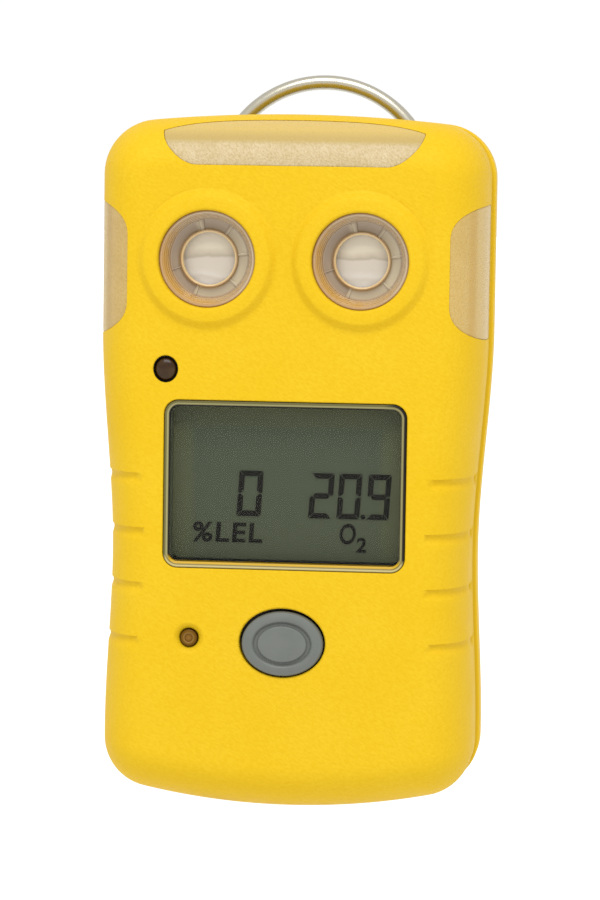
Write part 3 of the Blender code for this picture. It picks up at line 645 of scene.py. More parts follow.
def face_cutter(name, outline_at, stations):
    """A cutter whose outline grows and shrinks along Y, so that an opening gets a rounded mouth."""
    return loft(name, [[(x, y, z) for x, z in outline_at(grow)] for y, grow in stations])


def mouth(radius, deep):
    """Stations for a cutter: wide above the face, a rounded edge of this radius, then straight in."""
    stations = [(FRONT_Y - 3, radius)]
    for a in (12, 30, 50, 70, 90):
        turn = radians(a)
        stations.append((FRONT_Y + radius * (1 - cos(turn)), radius * (1 - sin(turn))))
    return stations + [(FRONT_Y + deep, 0.0)]


def seat_outline(inset, corner, strip=0.0):
    """The rounded outline of the window's seat moved inwards, with a strip left along its lower side."""
    width, height = DISPLAY_W - 2 * inset, DISPLAY_H - 2 * inset - strip
    return rounded_rectangle(0, DISPLAY_Z + strip / 2, width, height, corner)


def front_cutters():
    def display(grow):
        if grow > -0.5:
            return seat_outline(-grow, DISPLAY_CORNER + grow)
        return seat_outline(-grow, WELL_CORNER, STRIP)

    def button(grow):
        return ellipse(0, BUTTON_Z, BUTTON_HOLE_RX + grow, BUTTON_HOLE_RZ + grow)

    def ir(grow):
        return ellipse(IR_X, IR_Z, IR_R + 0.13 + grow, IR_TALL * (IR_R + 0.15) + grow, 48)

    seat = mouth(0.25, 1.5) + [(FRONT_Y + 1.5, -RIM), (FRONT_Y + 5, -RIM)]
    tools = [
        face_cutter("display", display, seat),
        face_cutter("button", button, mouth(0.35, 5)),
        face_cutter("ir", ir, mouth(0.25, 5)),
    ]
    dimple = [(0, FRONT_Y - 3), (LED_R + 1.35, FRONT_Y - 3), (LED_R + 1.35, FRONT_Y - 0.02)]
    for i in range(1, 9):
        t = i / 8
        dimple.append((LED_R + 1.35 - 1.1 * t, FRONT_Y - 0.02 + 0.9 * t**1.7))
    dimple += [(LED_R + 0.2, FRONT_Y + 1.0), (LED_R + 0.2, FRONT_Y + 5), (0, FRONT_Y + 5)]
    tools.append(turned("led", dimple, LED_X, LED_Z, 64))
    bore = [(0, FRONT_Y - 3), (BORE_R, FRONT_Y - 3), (BORE_R, FRONT_Y + 5), (0, FRONT_Y + 5)]
    return tools + [turned("bore", bore, x, PORT_Z) for x in PORT_XS]


def lens_cutters():
    tools = []
    for side in (-1, 1):
        plan = side_lens_outline(LENS_GAP)
        rings = [[side_lens_point(side, u, v, out) for u, v in plan] for out in (20, 46)]
        tools.append(loft("side_pocket", rings))
    rings = [[top_lens_point(x, v, out) for x, v in top_lens_outline(LENS_GAP)] for out in (80, 110)]
    tools.append(loft("top_pocket", rings))
    return tools


def bezel(x):
    """The raised ring round a port: a cove up from the face, a flat top and a rounded inner edge."""
    top = FRONT_Y - BEZEL_HEIGHT
    profile = [(BEZEL_OUT, FRONT_Y + 0.5), (BEZEL_OUT, FRONT_Y + 0.01)]
    for i in range(1, 13):
        t = i / 12
        rise = 0.35 * t + 0.65 * blend(t)
        r = BEZEL_OUT - (BEZEL_OUT - BEZEL_TOP) * t
        profile.append((r, FRONT_Y + 0.01 - (BEZEL_HEIGHT + 0.01) * rise))
    profile += [(PORT_R + 0.55, top)]
    for a in (20, 45, 70, 90):
        turn = radians(a)
        profile.append((PORT_R + 0.5 - 0.5 * sin(turn), top + 0.5 - 0.5 * cos(turn)))
    profile += [(PORT_R, FRONT_Y + WALL + 0.1), (9.7, FRONT_Y + WALL + 0.1), (9.7, FRONT_Y + 0.5)]
    return turned("bezel", profile, x, PORT_Z, 128)


def front_shell(material):
    rings = shell_rings(FRONT_SHAPE, FRONT_Y, FRONT_LIP, 1, FRONT_ROUND_DEPTH, FRONT_ROUND_INSET,
                        front_relief)
    shell = skin("front_shell_skin", rings, (0, FRONT_Y, FACE_CENTRE_Z))
    mesh = shell.data
    surface = BVHTree.FromPolygons([v.co for v in mesh.vertices], [p.vertices[:] for p in mesh.polygons])
    boolean(shell, merged("cutters", front_cutters() + lens_cutters()), "DIFFERENCE")
    boolean(shell, merged("bezels", [bezel(x) for x in PORT_XS]), "UNION")
    dress(shell, material, "body", "yellow_overmould", "front_shell")
    return surface


def rear_shell(material):
    rings = shell_rings(REAR_SHAPE, BACK_Y, REAR_LIP, -1, BACK_ROUND_DEPTH, BACK_ROUND_INSET, None)
    shell = skin("rear_shell_skin", rings, (0, BACK_Y, FACE_CENTRE_Z))
    tools = []
    for node in ("top_left", "top_right", "bottom_left", "bottom_right"):
        x, _, z = middle(f"{node}_case_screw")
        tools.append(turned("counterbore", [
            (0, BACK_Y + 3), (2.8, BACK_Y + 3), (2.75, BACK_Y - 0.02), (2.5, BACK_Y - 0.15),
            (2.4, BACK_Y - 0.4), (2.4, BACK_Y - 2.35), (1.4, BACK_Y - 2.35), (1.4, BACK_Y - 6),
            (0, BACK_Y - 6)], x, z, 64))
    for node in ("left_charging_contact", "right_charging_contact"):
        x, _, z = middle(node)
        tools.append(turned("contact_hole", [
            (0, BACK_Y + 3), (2.7, BACK_Y + 3), (2.65, BACK_Y - 0.02), (2.4, BACK_Y - 0.12),
            (2.3, BACK_Y - 0.35), (2.3, BACK_Y - 6), (0, BACK_Y - 6)], x, z, 64))
    step = [(-40, STEP_Y), (40, STEP_Y), (40, BACK_Y + 2), (-40, BACK_Y + 2)]
    tools.append(loft("step", [[(x, y, z) for x, y in step] for z in (STEP_Z, HEIGHT + 5)]))
    boolean(shell, merged("cutters", tools), "DIFFERENCE")
    dress(shell, material, "body", "yellow_overmould", "rear_shell")


# ---- alarm lenses


def lens_plate(name, rim_at, place, surface):
    """A bevelled plate whose face follows the body's surface, inside an outline in its own plane.

    rim_at(grow) is the outline, place(a, b, out) a point over the plane, and surface the body to follow.
    """
    direction = (Vector(place(0, 0, 0)) - Vector(place(0, 0, 1))).normalized()

    def drop(a, b, depth):
        start = Vector(place(a, b, 120.0))
        hit = surface.ray_cast(start * MM, direction)
        reach = 120.0 - (hit[0] / MM - start).length
        return place(a, b, reach - depth)

    outer = rim_at(-LENS_GAP)
    middle_a = sum(p[0] for p in outer) / len(outer)
    middle_b = sum(p[1] for p in outer) / len(outer)
    rings = [[drop(a, b, LENS_T) for a, b in outer], [drop(a, b, 0.2) for a, b in outer]]
    for shrink, depth in ((0.02, 0.12), (0.08, 0.07), (0.22, 0.04)):
        rings.append([drop(a, b, depth) for a, b in rim_at(-LENS_GAP - shrink)])
    inner = rim_at(-LENS_GAP - 0.4)
    count = 22
    for k in range(count):
        t = 1 - k / count
        shrunk = [(middle_a + (a - middle_a) * t, middle_b + (b - middle_b) * t) for a, b in inner]
        rings.append([drop(a, b, 0.03) for a, b in shrunk])
    return skin(name, rings, drop(middle_a, middle_b, 0.03))


def lens_look(name, tones, contrast):
    """Frosted plastic with a fine diagonal grain."""
    look = Look(name, tones[0], 0.34, IOR=1.49, Specular_IOR_Level=0.22)
    tone = look.ramp(look.noise(4.5, 2), [(0.32, tones[0]), (0.68, tones[1])])
    grain = look.noise(0.26, 2, 0.5, look.stretched((1, 1, 2.0), (radians(-30), radians(-40), 0)))
    look.feed("Base Color", look.mix(look.span(grain, 0.4, 0.64, 0.0, contrast), tone, tones[2]))
    look.bump((grain, 0.9, 0.16), (look.noise(0.3, 2), 0.2, 0.03))
    return look


def top_lens_look():
    """Cream and stippled below, with a smooth tan band along the top."""
    look = lens_look("top lens", (seen(220, 198, 152), seen(227, 207, 166), seen(194, 166, 108)), 0.5)
    z = look.coordinate("Z")
    up = look.span(z, (TOP_EDGE_Z - 3.8) * MM, (TOP_EDGE_Z - 3.0) * MM)
    band = look.shades(
        look.span(z, (TOP_EDGE_Z - 3.4) * MM, (TOP_EDGE_Z - 0.4) * MM), (0.0, 204, 178, 112),
        (0.3, 210, 182, 114), (0.7, 228, 197, 116), (1.0, 230, 198, 116))
    body = look.shader.inputs["Base Color"].links[0].from_socket
    look.feed("Base Color", look.mix(up, body, band))
    return look.material


TOP_EDGE_Z = box_mm("top_alarm_lens")[1][2]


def alarm_lenses(surface):
    # The two side lenses are the same plastic: the left set is painted a little darker as shade, and the
    # right set a little lighter as light.
    left_tones_with_painted_shade = (seen(214, 182, 114), seen(220, 189, 122), seen(190, 152, 84))
    right_tones_with_painted_light = (seen(220, 188, 116), seen(226, 194, 124), seen(206, 160, 72))
    for name, side, tones in (("left", -1, left_tones_with_painted_shade), ("right", 1, right_tones_with_painted_light)):
        def place(a, b, out, side=side):
            return side_lens_point(side, a, b, out)
        plate = lens_plate(f"{name}_lens", side_lens_outline, place, surface)
        look = lens_look(f"{name} lens", tones, 0.32)
        body = look.shader.inputs["Base Color"].links[0].from_socket
        stripe = look.greys(
            look.span(look.coordinate("Y"), -16 * MM, 0.0), (0.0, 0), (0.12, 0), (0.17, 0.35), (0.22, 0.35),
            (0.28, 0), (1.0, 0))
        smooth = look.mix(look.span(look.coordinate("Y"), -12.5 * MM, -11.0 * MM), body, tones[1])
        look.feed("Base Color", look.mix(stripe, smooth, tones[2]))
        dress(plate, look.material, "body", "frosted_lens", f"{name}_alarm_lens")
    plate = lens_plate("top_lens", top_lens_outline, top_lens_point, surface)
    dress(plate, top_lens_look(), "body", "frosted_lens", "top_alarm_lens")


# ---- sensors


CAP_FRONT = box_mm("left_sensor_cap")[0][1]
CAP_R, FLOOR_Y, FLOOR_R = PORT_R - 0.15, -13.7, 6.35
INNER_R, INNER_T = 4.25, 0.5
FILTER_Y = box_mm("left_sensor_filter")[0][1]


def cap_profile():
    """Out from the front rim, down the ridged wall, across the floor and up the ring round the hole."""
    front = CAP_FRONT
    profile = [(CAP_R, FLOOR_Y + 0.9), (CAP_R, front + 0.3), (PORT_R - 0.01, front + 0.22),
               (PORT_R - 0.02, front + 0.1), (PORT_R - 0.2, front)]
    ridges = 5
    for k in range(ridges):
        t0, t1 = k / ridges, (k + 1) / ridges
        r0, r1 = (CAP_R - 0.35 - (CAP_R - 0.35 - FLOOR_R) * t for t in (t0, t1))
        y0, y1 = (front + 0.05 + (FLOOR_Y - front - 0.05) * t**1.25 for t in (t0, t1))
        profile += [(r0, y0), (r0 - 0.03, y0 + 0.12), (r1 + 0.07, y1 - 0.14), (r1 + 0.1, y1 - 0.05)]
    profile += [(FLOOR_R, FLOOR_Y - 0.05), (FLOOR_R - 0.1, FLOOR_Y)]
    profile.append((INNER_R + INNER_T + 0.12, FLOOR_Y))
    rim = FLOOR_Y - 0.75
    profile += [(INNER_R + INNER_T, FLOOR_Y - 0.12), (INNER_R + INNER_T, rim + 0.12)]
    profile += arc(INNER_R + INNER_T / 2, rim + 0.18, INNER_T / 2, 0, -180, 8)
    profile += [(INNER_R, rim + 0.3), (INNER_R, FLOOR_Y + 0.9)]
    return profile


def cap_rib(x, angle, width):
    """A radial rib on the floor, from the ring to the wall."""
    a = radians(angle)
    u, v = (cos(a), sin(a)), (-sin(a), cos(a))
    rings = []
    stations = ((INNER_R + INNER_T - 0.05, 0.8 * width), ((INNER_R + FLOOR_R) / 2, width),
                (FLOOR_R + 0.1, 1.3 * width))
    for r, wide in stations:
        rings.append([(x + u[0] * r + v[0] * s, y, PORT_Z + u[1] * r + v[1] * s) for s, y in (
            (-wide, FLOOR_Y + 0.1), (-wide * 0.85, FLOOR_Y - 0.18), (-wide * 0.7, FLOOR_Y - 0.22),
            (wide * 0.7, FLOOR_Y - 0.22), (wide * 0.85, FLOOR_Y - 0.18), (wide, FLOOR_Y + 0.1))])
    return loft("rib", rings)


RIBS = ((103, 0.42), (56, 0.3), (8, 0.24), (-44, 0.2), (-112, 0.3), (197, 0.16))  # angle, half width


def amber_look(name, x):
    """Clear amber plastic over brown: rings of different depth, warmer towards the lower left as a painted
    reflection of the yellow housing, and paler towards the upper right as a painted highlight.
    """
    look = Look(name, seen(176, 142, 100), 0.16, IOR=1.5, Coat_Weight=0.6, Coat_Roughness=0.06)
    dx, dz = look.past("X", x), look.past("Z", PORT_Z)
    share = look.span(look.length(dx, dz), INNER_R * MM, PORT_R * MM)
    # The rings' tones towards the upper right, paler there as a painted highlight.
    brown = look.shades(
        share, (0.0, 244, 216, 160), (0.05, 236, 206, 148), (0.08, 196, 160, 116), (0.13, 212, 180, 134),
        (0.17, 206, 184, 146), (0.35, 220, 202, 168), (0.5, 206, 186, 154), (0.56, 186, 162, 130),
        (0.63, 214, 192, 160), (0.75, 216, 192, 158), (0.83, 200, 174, 140), (0.88, 226, 206, 174),
        (0.93, 196, 168, 134), (0.97, 188, 156, 120), (1.0, 140, 98, 60))
    # The rings' tones towards the lower left, warmer there as a painted reflection of the yellow housing.
    lower_left_painted_reflection = look.shades(
        share, (0.0, 240, 206, 144), (0.05, 226, 190, 128), (0.08, 190, 150, 100), (0.13, 206, 170, 118),
        (0.17, 180, 154, 126), (0.35, 178, 152, 126), (0.5, 174, 148, 122), (0.57, 196, 164, 128),
        (0.66, 222, 178, 108), (0.76, 228, 176, 84), (0.86, 216, 172, 110), (0.93, 206, 168, 124),
        (1.0, 150, 104, 58))
    turn = look.span(look.math("ARCTAN2", dz, dx), -pi, pi)
    sectors = look.greys(
        turn, (0.0, 0.1), (0.18, 0.1), (0.19, 0.75), (0.37, 0.6), (0.38, 0.95), (0.52, 0.75), (0.53, 1),
        (0.65, 0.7), (0.66, 0.25), (0.775, 0.15), (0.795, 0.9), (0.82, 0.1), (1.0, 0.1))
    on_floor = look.math("MULTIPLY", look.span(share, 0.14, 0.18), look.span(share, 0.52, 0.56, 1.0, 0.0))
    # How far a point lies towards the lower left, where the painted reflection is strongest.
    slope = look.math("ADD", look.math("MULTIPLY", dx, 1.0), look.math("MULTIPLY", dz, 0.9))
    side = look.span(slope, -6.5 * MM, 3.0 * MM, 1.0, 0.0)
    painted_reflection_share = look.math("ADD", side, look.span(look.noise(2.4, 2), 0.3, 0.7, -0.25, 0.25))
    walls_with_painted_light = look.mix(look.span(painted_reflection_share, 0, 1), brown, lower_left_painted_reflection)
    floor = look.mix(sectors, seen(172, 148, 120), seen(222, 206, 170))
    look.feed("Base Color", look.mix(on_floor, walls_with_painted_light, floor))
    look.feed("Roughness", look.span(look.noise(1.5, 2), 0.3, 0.7, 0.1, 0.22))
    look.bump((look.noise(0.9, 2), 0.25, 0.05))
    return look.material


def filter_look():
    """A pale disc behind the port, with a darker band just above its middle, and its upper part painted
    lighter to make up for the shadow that the port casts on it.
    """
    look = Look("filter disc", seen(216, 206, 192), 0.42)
    z = look.coordinate("Z")
    wave = look.span(look.noise(3.5, 2), 0.3, 0.7, -0.35 * MM, 0.35 * MM)
    height = look.span(look.math("ADD", z, wave), (PORT_Z - 4.4) * MM, (PORT_Z + 4.4) * MM)
    # Painted light: the upper stops are lighter to offset the port's shadow on the disc.
    tone = look.shades(
        height, (0.0, 244, 240, 234), (0.13, 224, 216, 204), (0.2, 236, 230, 220), (0.3, 228, 219, 205),
        (0.48, 232, 222, 208), (0.52, 206, 195, 174), (0.58, 226, 214, 192), (0.68, 246, 236, 214),
        (1.0, 250, 240, 220))
    look.feed("Base Color", tone)
    look.bump((look.noise(0.25, 2), 0.12, 0.02))
    return look.material


def sensors():
    disc_look = filter_look()
    for side, x in zip(("left", "right"), PORT_XS):
        cap = merged(f"{side}_cup", [turned("cup", cap_profile(), x, PORT_Z, 128)]
                     + [cap_rib(x, a, width) for a, width in RIBS])
        dress(cap, amber_look(f"{side} amber", x), "body", "amber_clear", f"{side}_sensor_cap", smooth=50)
        disc = [(0, FILTER_Y), (6.3, FILTER_Y), (6.5, FILTER_Y + 0.15), (6.5, FILTER_Y + 0.7),
                (0, FILTER_Y + 0.7)]
        made = turned(f"{side}_disc", disc, x, PORT_Z)
        dress(made, disc_look, "body", "filter_white", f"{side}_sensor_filter")


# ---- display


def rim_rings():
    """The window's frame: a dark outer line, a bevel that catches the light, and a dark inner line."""
    stations = (  # inset from the seat, depth
        (0.06, FRONT_Y + 1.1), (0.06, FRONT_Y + 0.14), (0.12, FRONT_Y + 0.04), (0.2, FRONT_Y),
        (0.28, FRONT_Y + 0.02), (0.66, FRONT_Y + 0.16), (0.74, FRONT_Y + 0.26), (RIM, FRONT_Y + 0.4),
        (RIM, FRONT_Y + 1.1))
    rings = []
    for inset, y in stations:
        rings.append([(x, y, z) for x, z in seat_outline(inset, DISPLAY_CORNER - inset)])
    return rings


def inside_seat(look):
    """How far a point is inside the rounded outline of the window's seat, in metres."""
    centred = look.past("Z", DISPLAY_Z)
    flat_w, flat_h = (DISPLAY_W / 2 - DISPLAY_CORNER) * MM, (DISPLAY_H / 2 - DISPLAY_CORNER) * MM
    past_x = look.math("SUBTRACT", look.math("ABSOLUTE", look.coordinate("X")), flat_w)
    past_z = look.math("SUBTRACT", look.math("ABSOLUTE", centred), flat_h)
    corner = look.length(*[look.math("MAXIMUM", past, 0.0) for past in (past_x, past_z)])
    flat = look.math("MINIMUM", look.math("MAXIMUM", past_x, past_z), 0.0)
    return look.math("SUBTRACT", DISPLAY_CORNER * MM, look.math("ADD", corner, flat))


def rim_look():
    look = Look("window rim", seen(122, 118, 78), 0.3, Specular_IOR_Level=0.2)
    centred = look.past("Z", DISPLAY_Z)
    inset = look.span(inside_seat(look), 0, 1.1 * MM)
    # The frame's dark print round the window, with a pale band on the bevel that is a painted highlight.
    dark = look.shades(
        inset, (0.0, 110, 92, 38), (0.1, 70, 60, 32), (0.18, 120, 114, 70), (0.42, 132, 126, 80),
        (0.5, 186, 180, 128), (0.66, 172, 166, 116), (0.76, 52, 46, 26), (0.92, 40, 34, 18),
        (1.0, 60, 58, 42))
    # On the right-hand side the painted highlight on the bevel is laid out differently.
    far = look.shades(
        inset, (0.0, 90, 76, 30), (0.1, 40, 34, 18), (0.36, 50, 44, 24), (0.5, 160, 152, 102),
        (0.66, 176, 168, 116), (0.76, 120, 116, 80), (0.9, 52, 48, 30), (1.0, 70, 72, 56))
    dark = look.mix(look.span(look.coordinate("X"), 16 * MM, 18 * MM), dark, far)
    # Along the lower side: the yellow of the housing below is painted on the rim as a reflection, with a
    # painted highlight on the bevel.
    pale = look.shades(
        inset, (0.0, 190, 150, 50), (0.1, 140, 122, 72), (0.2, 196, 182, 128), (0.34, 226, 212, 150),
        (0.44, 176, 156, 92), (0.5, 116, 98, 50), (0.58, 150, 124, 44), (0.66, 232, 188, 48),
        (1.0, 224, 176, 36))
    # Share of the lower side where the painted reflection of the yellow housing is used.
    bottom = look.span(centred, (1.3 - DISPLAY_H / 2) * MM, (2.2 - DISPLAY_H / 2) * MM, 0.9, 0.0)
    look.feed("Base Color", look.mix(bottom, dark, pale))
    look.bump((look.noise(0.6, 2), 0.1, 0.02))
    return look.material


def lcd_look():
    """Dark olive glass, painted a little lighter near its top and side edges to make up for the rim's shadow
    there, and browner towards the foot.
    """
    look = Look("lcd", seen(84, 91, 75), 0.35, Specular_IOR_Level=0.1)
    edge_x = look.math("SUBTRACT", (DISPLAY_W / 2 - RIM) * MM, look.math("ABSOLUTE", look.coordinate("X")))
    top_z = look.math("SUBTRACT", (DISPLAY_Z + DISPLAY_H / 2 - RIM) * MM, look.coordinate("Z"))
    edge = look.math("SMOOTH_MIN", edge_x, top_z, 0.6 * MM)
    # Painted light near the top and side edges, where the rim casts its shadow.
    painted_edge_light = look.shades(
        look.span(edge, 0, 4.0 * MM), (0.0, 112, 114, 84), (0.25, 106, 110, 84), (0.7, 102, 108, 84),
        (1.0, 94, 101, 84))
    down = look.span(look.coordinate("Z"), (DISPLAY_Z - 13) * MM, (DISPLAY_Z + 5) * MM, 0.45, 0.0)
    look.feed("Base Color", look.mix(down, painted_edge_light, seen(94, 98, 75)))
    look.feed("Roughness", look.span(look.noise(8, 2), 0.3, 0.7, 0.3, 0.42))
    look.bump((look.noise(5, 1), 0.02, 0.01))
    return look.material


def sleeve_look():
    look = Look("window sleeve", seen(100, 104, 84), 0.5, Specular_IOR_Level=0.1)
    tone = look.mottle(2.0, (96, 100, 80), (104, 108, 88))
    up = look.past("Z", DISPLAY_Z - DISPLAY_H / 2)
    look.feed("Base Color", look.mix(look.span(up, 1.6 * MM, 2.2 * MM, 1.0, 0.0), tone, seen(40, 36, 20)))
    look.bump((look.noise(0.6, 2), 0.1, 0.02))
    return look.material


def pane_look():
    look = Look("clear pane", (0.02, 0.025, 0.02), 0.06, IOR=1.5, Alpha=0.06)
    look.feed("Roughness", look.span(look.noise(9, 2), 0.3, 0.7, 0.04, 0.09))
    return look.material


SEGMENTS = {"0": "abcdef", "2": "abged", "9": "abcdfg"}
SEGMENT_T, SEGMENT_GAP, SEGMENT_SKEW = 0.9, 0.07, tan(radians(3.6))


def segment_bars(x, z, width, height):
    """The seven segments of one figure as outlines with pointed ends, from its lower left corner."""
    t, g, mid = SEGMENT_T, SEGMENT_GAP, height / 2
    tip = g + 0.05

    def across(outer, inner):
        return [(tip, outer), (width - tip, outer), (width - t, inner), (t, inner)]

    def upright(outside, inside, upper):
        shape = [(outside, height - tip), (inside, height - t - g), (inside, mid + t / 2 + g * 0.6),
                 (outside + (inside - outside) * 0.45, mid + g), (outside, mid + g + 0.1)]
        return shape if upper else [(px, height - pz) for px, pz in shape]

    low, high, taper = mid - t / 2, mid + t / 2, t * 0.62
    middle_bar = [(taper, mid), (t, high), (width - t, high), (width - taper, mid), (width - t, low),
                  (t, low)]
    shapes = {
        "a": across(height, height - t), "g": middle_bar, "d": across(0, t)[::-1],
        "f": upright(0, t, True), "b": upright(width, width - t, True),
        "e": upright(0, t, False), "c": upright(width, width - t, False),
    }
    return {key: [(x + px + pz * SEGMENT_SKEW, z + pz) for px, pz in shape]
            for key, shape in shapes.items()}


FIGURES = (  # figure, left edge, base, width
    ("0", -8.2, 48.62, 3.95), ("2", 3.6, 48.5, 3.85), ("0", 8.25, 48.5, 3.75), ("9", 13.05, 48.5, 3.75),
)
FIGURE_HEIGHT = 7.45


def figures(material):
    y = LCD_Y - 0.12
    bars = []
    for figure, x, z, width in FIGURES:
        for key, shape in segment_bars(x, z, width, FIGURE_HEIGHT).items():
            if key in SEGMENTS[figure]:
                bars.append(loft("bar", [[(px, yy, pz) for px, pz in shape] for yy in (y, LCD_Y + 0.1)]))
    bars.append(loft("point", [[(px, yy, pz) for px, pz in ellipse(12.62, 48.92, 0.4, 0.4, 24)]
                               for yy in (y, LCD_Y + 0.1)]))
    return dress(merged("figures", bars), material, "body", "lcd_glass")


def label(name, text, x, z, size, width, material):
    """Raised lettering on the display, from the lower left corner of its first letter."""
    curve = bpy.data.curves.new(name, "FONT")
    curve.body = text
    curve.size = size * MM
    curve.extrude = 0.05 * MM
    curve.offset = 0.1 * MM
    curve.space_character = 1.12
    text_obj = placed(name, curve)
    bpy.context.view_layer.update()
    mesh = bpy.data.meshes.new_from_object(text_obj.evaluated_get(bpy.context.evaluated_depsgraph_get()))
    bpy.data.objects.remove(text_obj, do_unlink=True)
    low = min(v.co.x for v in mesh.vertices)
    high = max(v.co.x for v in mesh.vertices)
    base = min(v.co.y for v in mesh.vertices)
    stretch = width * MM / (high - low)
    for v in mesh.vertices:
        px, pz, depth = v.co
        px = (px - low) * stretch + (pz - base) * SEGMENT_SKEW
        v.co = (x * MM + px, (LCD_Y - 0.06) * MM - depth, z * MM + pz - base)
    return dress(placed(name, mesh), material, "body", "lcd_glass")


def ink_look():
    look = Look("lcd ink", seen(36, 34, 31, 0.008), 0.5, Specular_IOR_Level=0.1)
    look.feed("Base Color", look.mottle(1.5, (33, 31, 28, 0.008), (39, 37, 33, 0.008)))
    return look.material


def display():
    dress(hoop("window_rim", rim_rings()), rim_look(), "body", "clear_window")
    plan = seat_outline(0.9, 1.6)
    pane = loft("window_pane", [[(x, y, z) for x, z in plan] for y in (FRONT_Y + 0.45, FRONT_Y + 1.05)])
    dress(pane, pane_look(), "body", "clear_window", "display_window")
    sleeve = []
    for inset, y in ((RIM - 0.02, FRONT_Y + 1.15), (RIM - 0.02, LCD_Y - 0.05), (RIM + 0.12, LCD_Y - 0.05),
                     (RIM + 0.12, FRONT_Y + 1.15)):
        sleeve.append([(x, y, z) for x, z in seat_outline(inset, WELL_CORNER, STRIP)])
    dress(hoop("window_sleeve", sleeve), sleeve_look(), "body", "seal_black")
    low, high = box_mm("lcd_panel")
    width, height = high[0] - low[0], high[2] - low[2]
    panel = rounded_rectangle(0, (low[2] + high[2]) / 2, width, height, 0.4)
    dress(loft("lcd_glass", [[(x, y, z) for x, z in panel] for y in (LCD_Y, LCD_Y + 1.4)]), lcd_look(),
          "body", "lcd_glass", "lcd_panel")
    ink = ink_look()
    figures(ink)
    label("left_unit", "%LEL", -15.5, 44.2, 4.45, 11.6, ink)
    label("right_unit", "O", 8.75, 44.35, 4.6, 2.65, ink)
    label("right_unit_figure", "2", 11.55, 43.05, 3.3, 1.65, ink)


# ---- button, dome and status light


def button_look():
    """Grey rubber, with painted shade that darkens it down in the groove and down the side."""
    look = Look("button rubber", seen(118, 122, 117), 0.5)
    top = box_mm("mode_button")[0][1]
    tone = look.mottle(3, (116, 120, 115), (121, 125, 119))
    x, z = look.coordinate("X"), look.past("Z", BUTTON_Z)
    oval = look.math("ADD", look.math("POWER", look.math("DIVIDE", x, 6.0 * MM), 2.0),
                     look.math("POWER", look.math("DIVIDE", z, 4.7 * MM), 2.0))
    y = look.coordinate("Y")
    # Painted shade down in the groove round the island.
    groove = look.math("MULTIPLY", look.span(y, (top + 0.15) * MM, (top + 0.5) * MM, 0.0, 0.12),
                       look.span(oval, 0.62, 0.7, 1.0, 0.0))
    # Painted shade down the side wall into the hole.
    wall = look.span(y, (top + 1.15) * MM, (top + 1.6) * MM)
    look.feed("Base Color", look.mix(look.math("MAXIMUM", groove, wall), tone, seen(60, 52, 40)))
    look.bump((look.noise(0.3, 3), 0.25, 0.02))
    return look.material


def mode_button():
    """An oval cap: a flat island, a groove round it, a rounded shoulder and a side wall down the hole."""
    low, high = box_mm("mode_button")
    top, rx, rz = low[1], BUTTON_HOLE_RX - 0.36, BUTTON_HOLE_RZ - 0.34
    sections = [  # depth, half width, half height
        (top, 0.6, 0.45), (top, 2.2, 1.6), (top, 3.7, 2.68), (top + 0.03, 3.9, 2.86), (top + 0.1, 3.99, 2.94),
        (top + 0.5, 4.08, 3.01), (top + 0.58, 4.18, 3.08), (top + 0.6, 4.4, 3.25), (top + 0.56, 4.58, 3.4),
        (top + 0.44, 4.68, 3.5), (top + 0.2, 4.84, 3.64), (top + 0.06, 5.02, 3.8), (top + 0.02, 5.25, 4.0),
        (top + 0.1, 5.7, 4.42), (top + 0.24, 6.1, 4.78), (top + 0.3, 6.3, 4.96)]
    for i in range(1, 9):
        a = pi / 2 * i / 8
        out = sin(a)
        sections.append((top + 0.3 + 0.8 * (1 - cos(a)), 6.3 + (rx - 6.3) * out, 4.96 + (rz - 4.96) * out))
    sections += [(-14.6, rx, rz), (-14.5, rx + 1.1, rz + 1.1), (-13.9, rx + 1.1, rz + 1.1), (-13.8, 1.6, 1.6),
                 (-12.4, 1.6, 1.6)]
    rings = []
    for y, a, b in sections:
        rings.append([(x, y, z) for x, z in ellipse(BUTTON_DX, BUTTON_Z + BUTTON_DZ, a, b, 112)])
    dress(loft("button_cap", rings), button_look(), "button", "button_grey", "mode_button", smooth=45)


def dome_look():
    look = Look("dark lens", seen(74, 57, 36), 0.2, IOR=1.5, Specular_IOR_Level=0.25)
    tone = look.mottle(1.8, (66, 50, 30), (82, 64, 42))
    look.feed("Base Color", tone)
    look.bump((look.noise(0.5, 1), 0.1, 0.02))
    return look.material


def black_look():
    look = Look("black surround", seen(30, 20, 12), 0.5, Specular_IOR_Level=0.1)
    look.feed("Base Color", look.mottle(1.0, (28, 18, 10), (38, 27, 18)))
    look.bump((look.noise(0.3, 2), 0.2, 0.02))
    return look.material


def led_look():
    """Brown amber lens with a darker ring near its edge and another round its middle."""
    look = Look("amber status lens", seen(140, 106, 50), 0.3, IOR=1.5, Specular_IOR_Level=0.1)
    share = look.span(look.length(look.past("X", LED_X), look.past("Z", LED_Z)), 0, (LED_R + 0.14) * MM)
    look.feed("Base Color", look.shades(
        share, (0.0, 150, 112, 62), (0.3, 136, 98, 48), (0.42, 108, 76, 30), (0.52, 160, 124, 72),
        (0.62, 138, 104, 48), (0.74, 124, 90, 36), (0.86, 118, 86, 40), (0.94, 80, 56, 22),
        (1.0, 60, 40, 14)))
    look.bump((look.noise(0.4, 2), 0.2, 0.02))
    return look.material


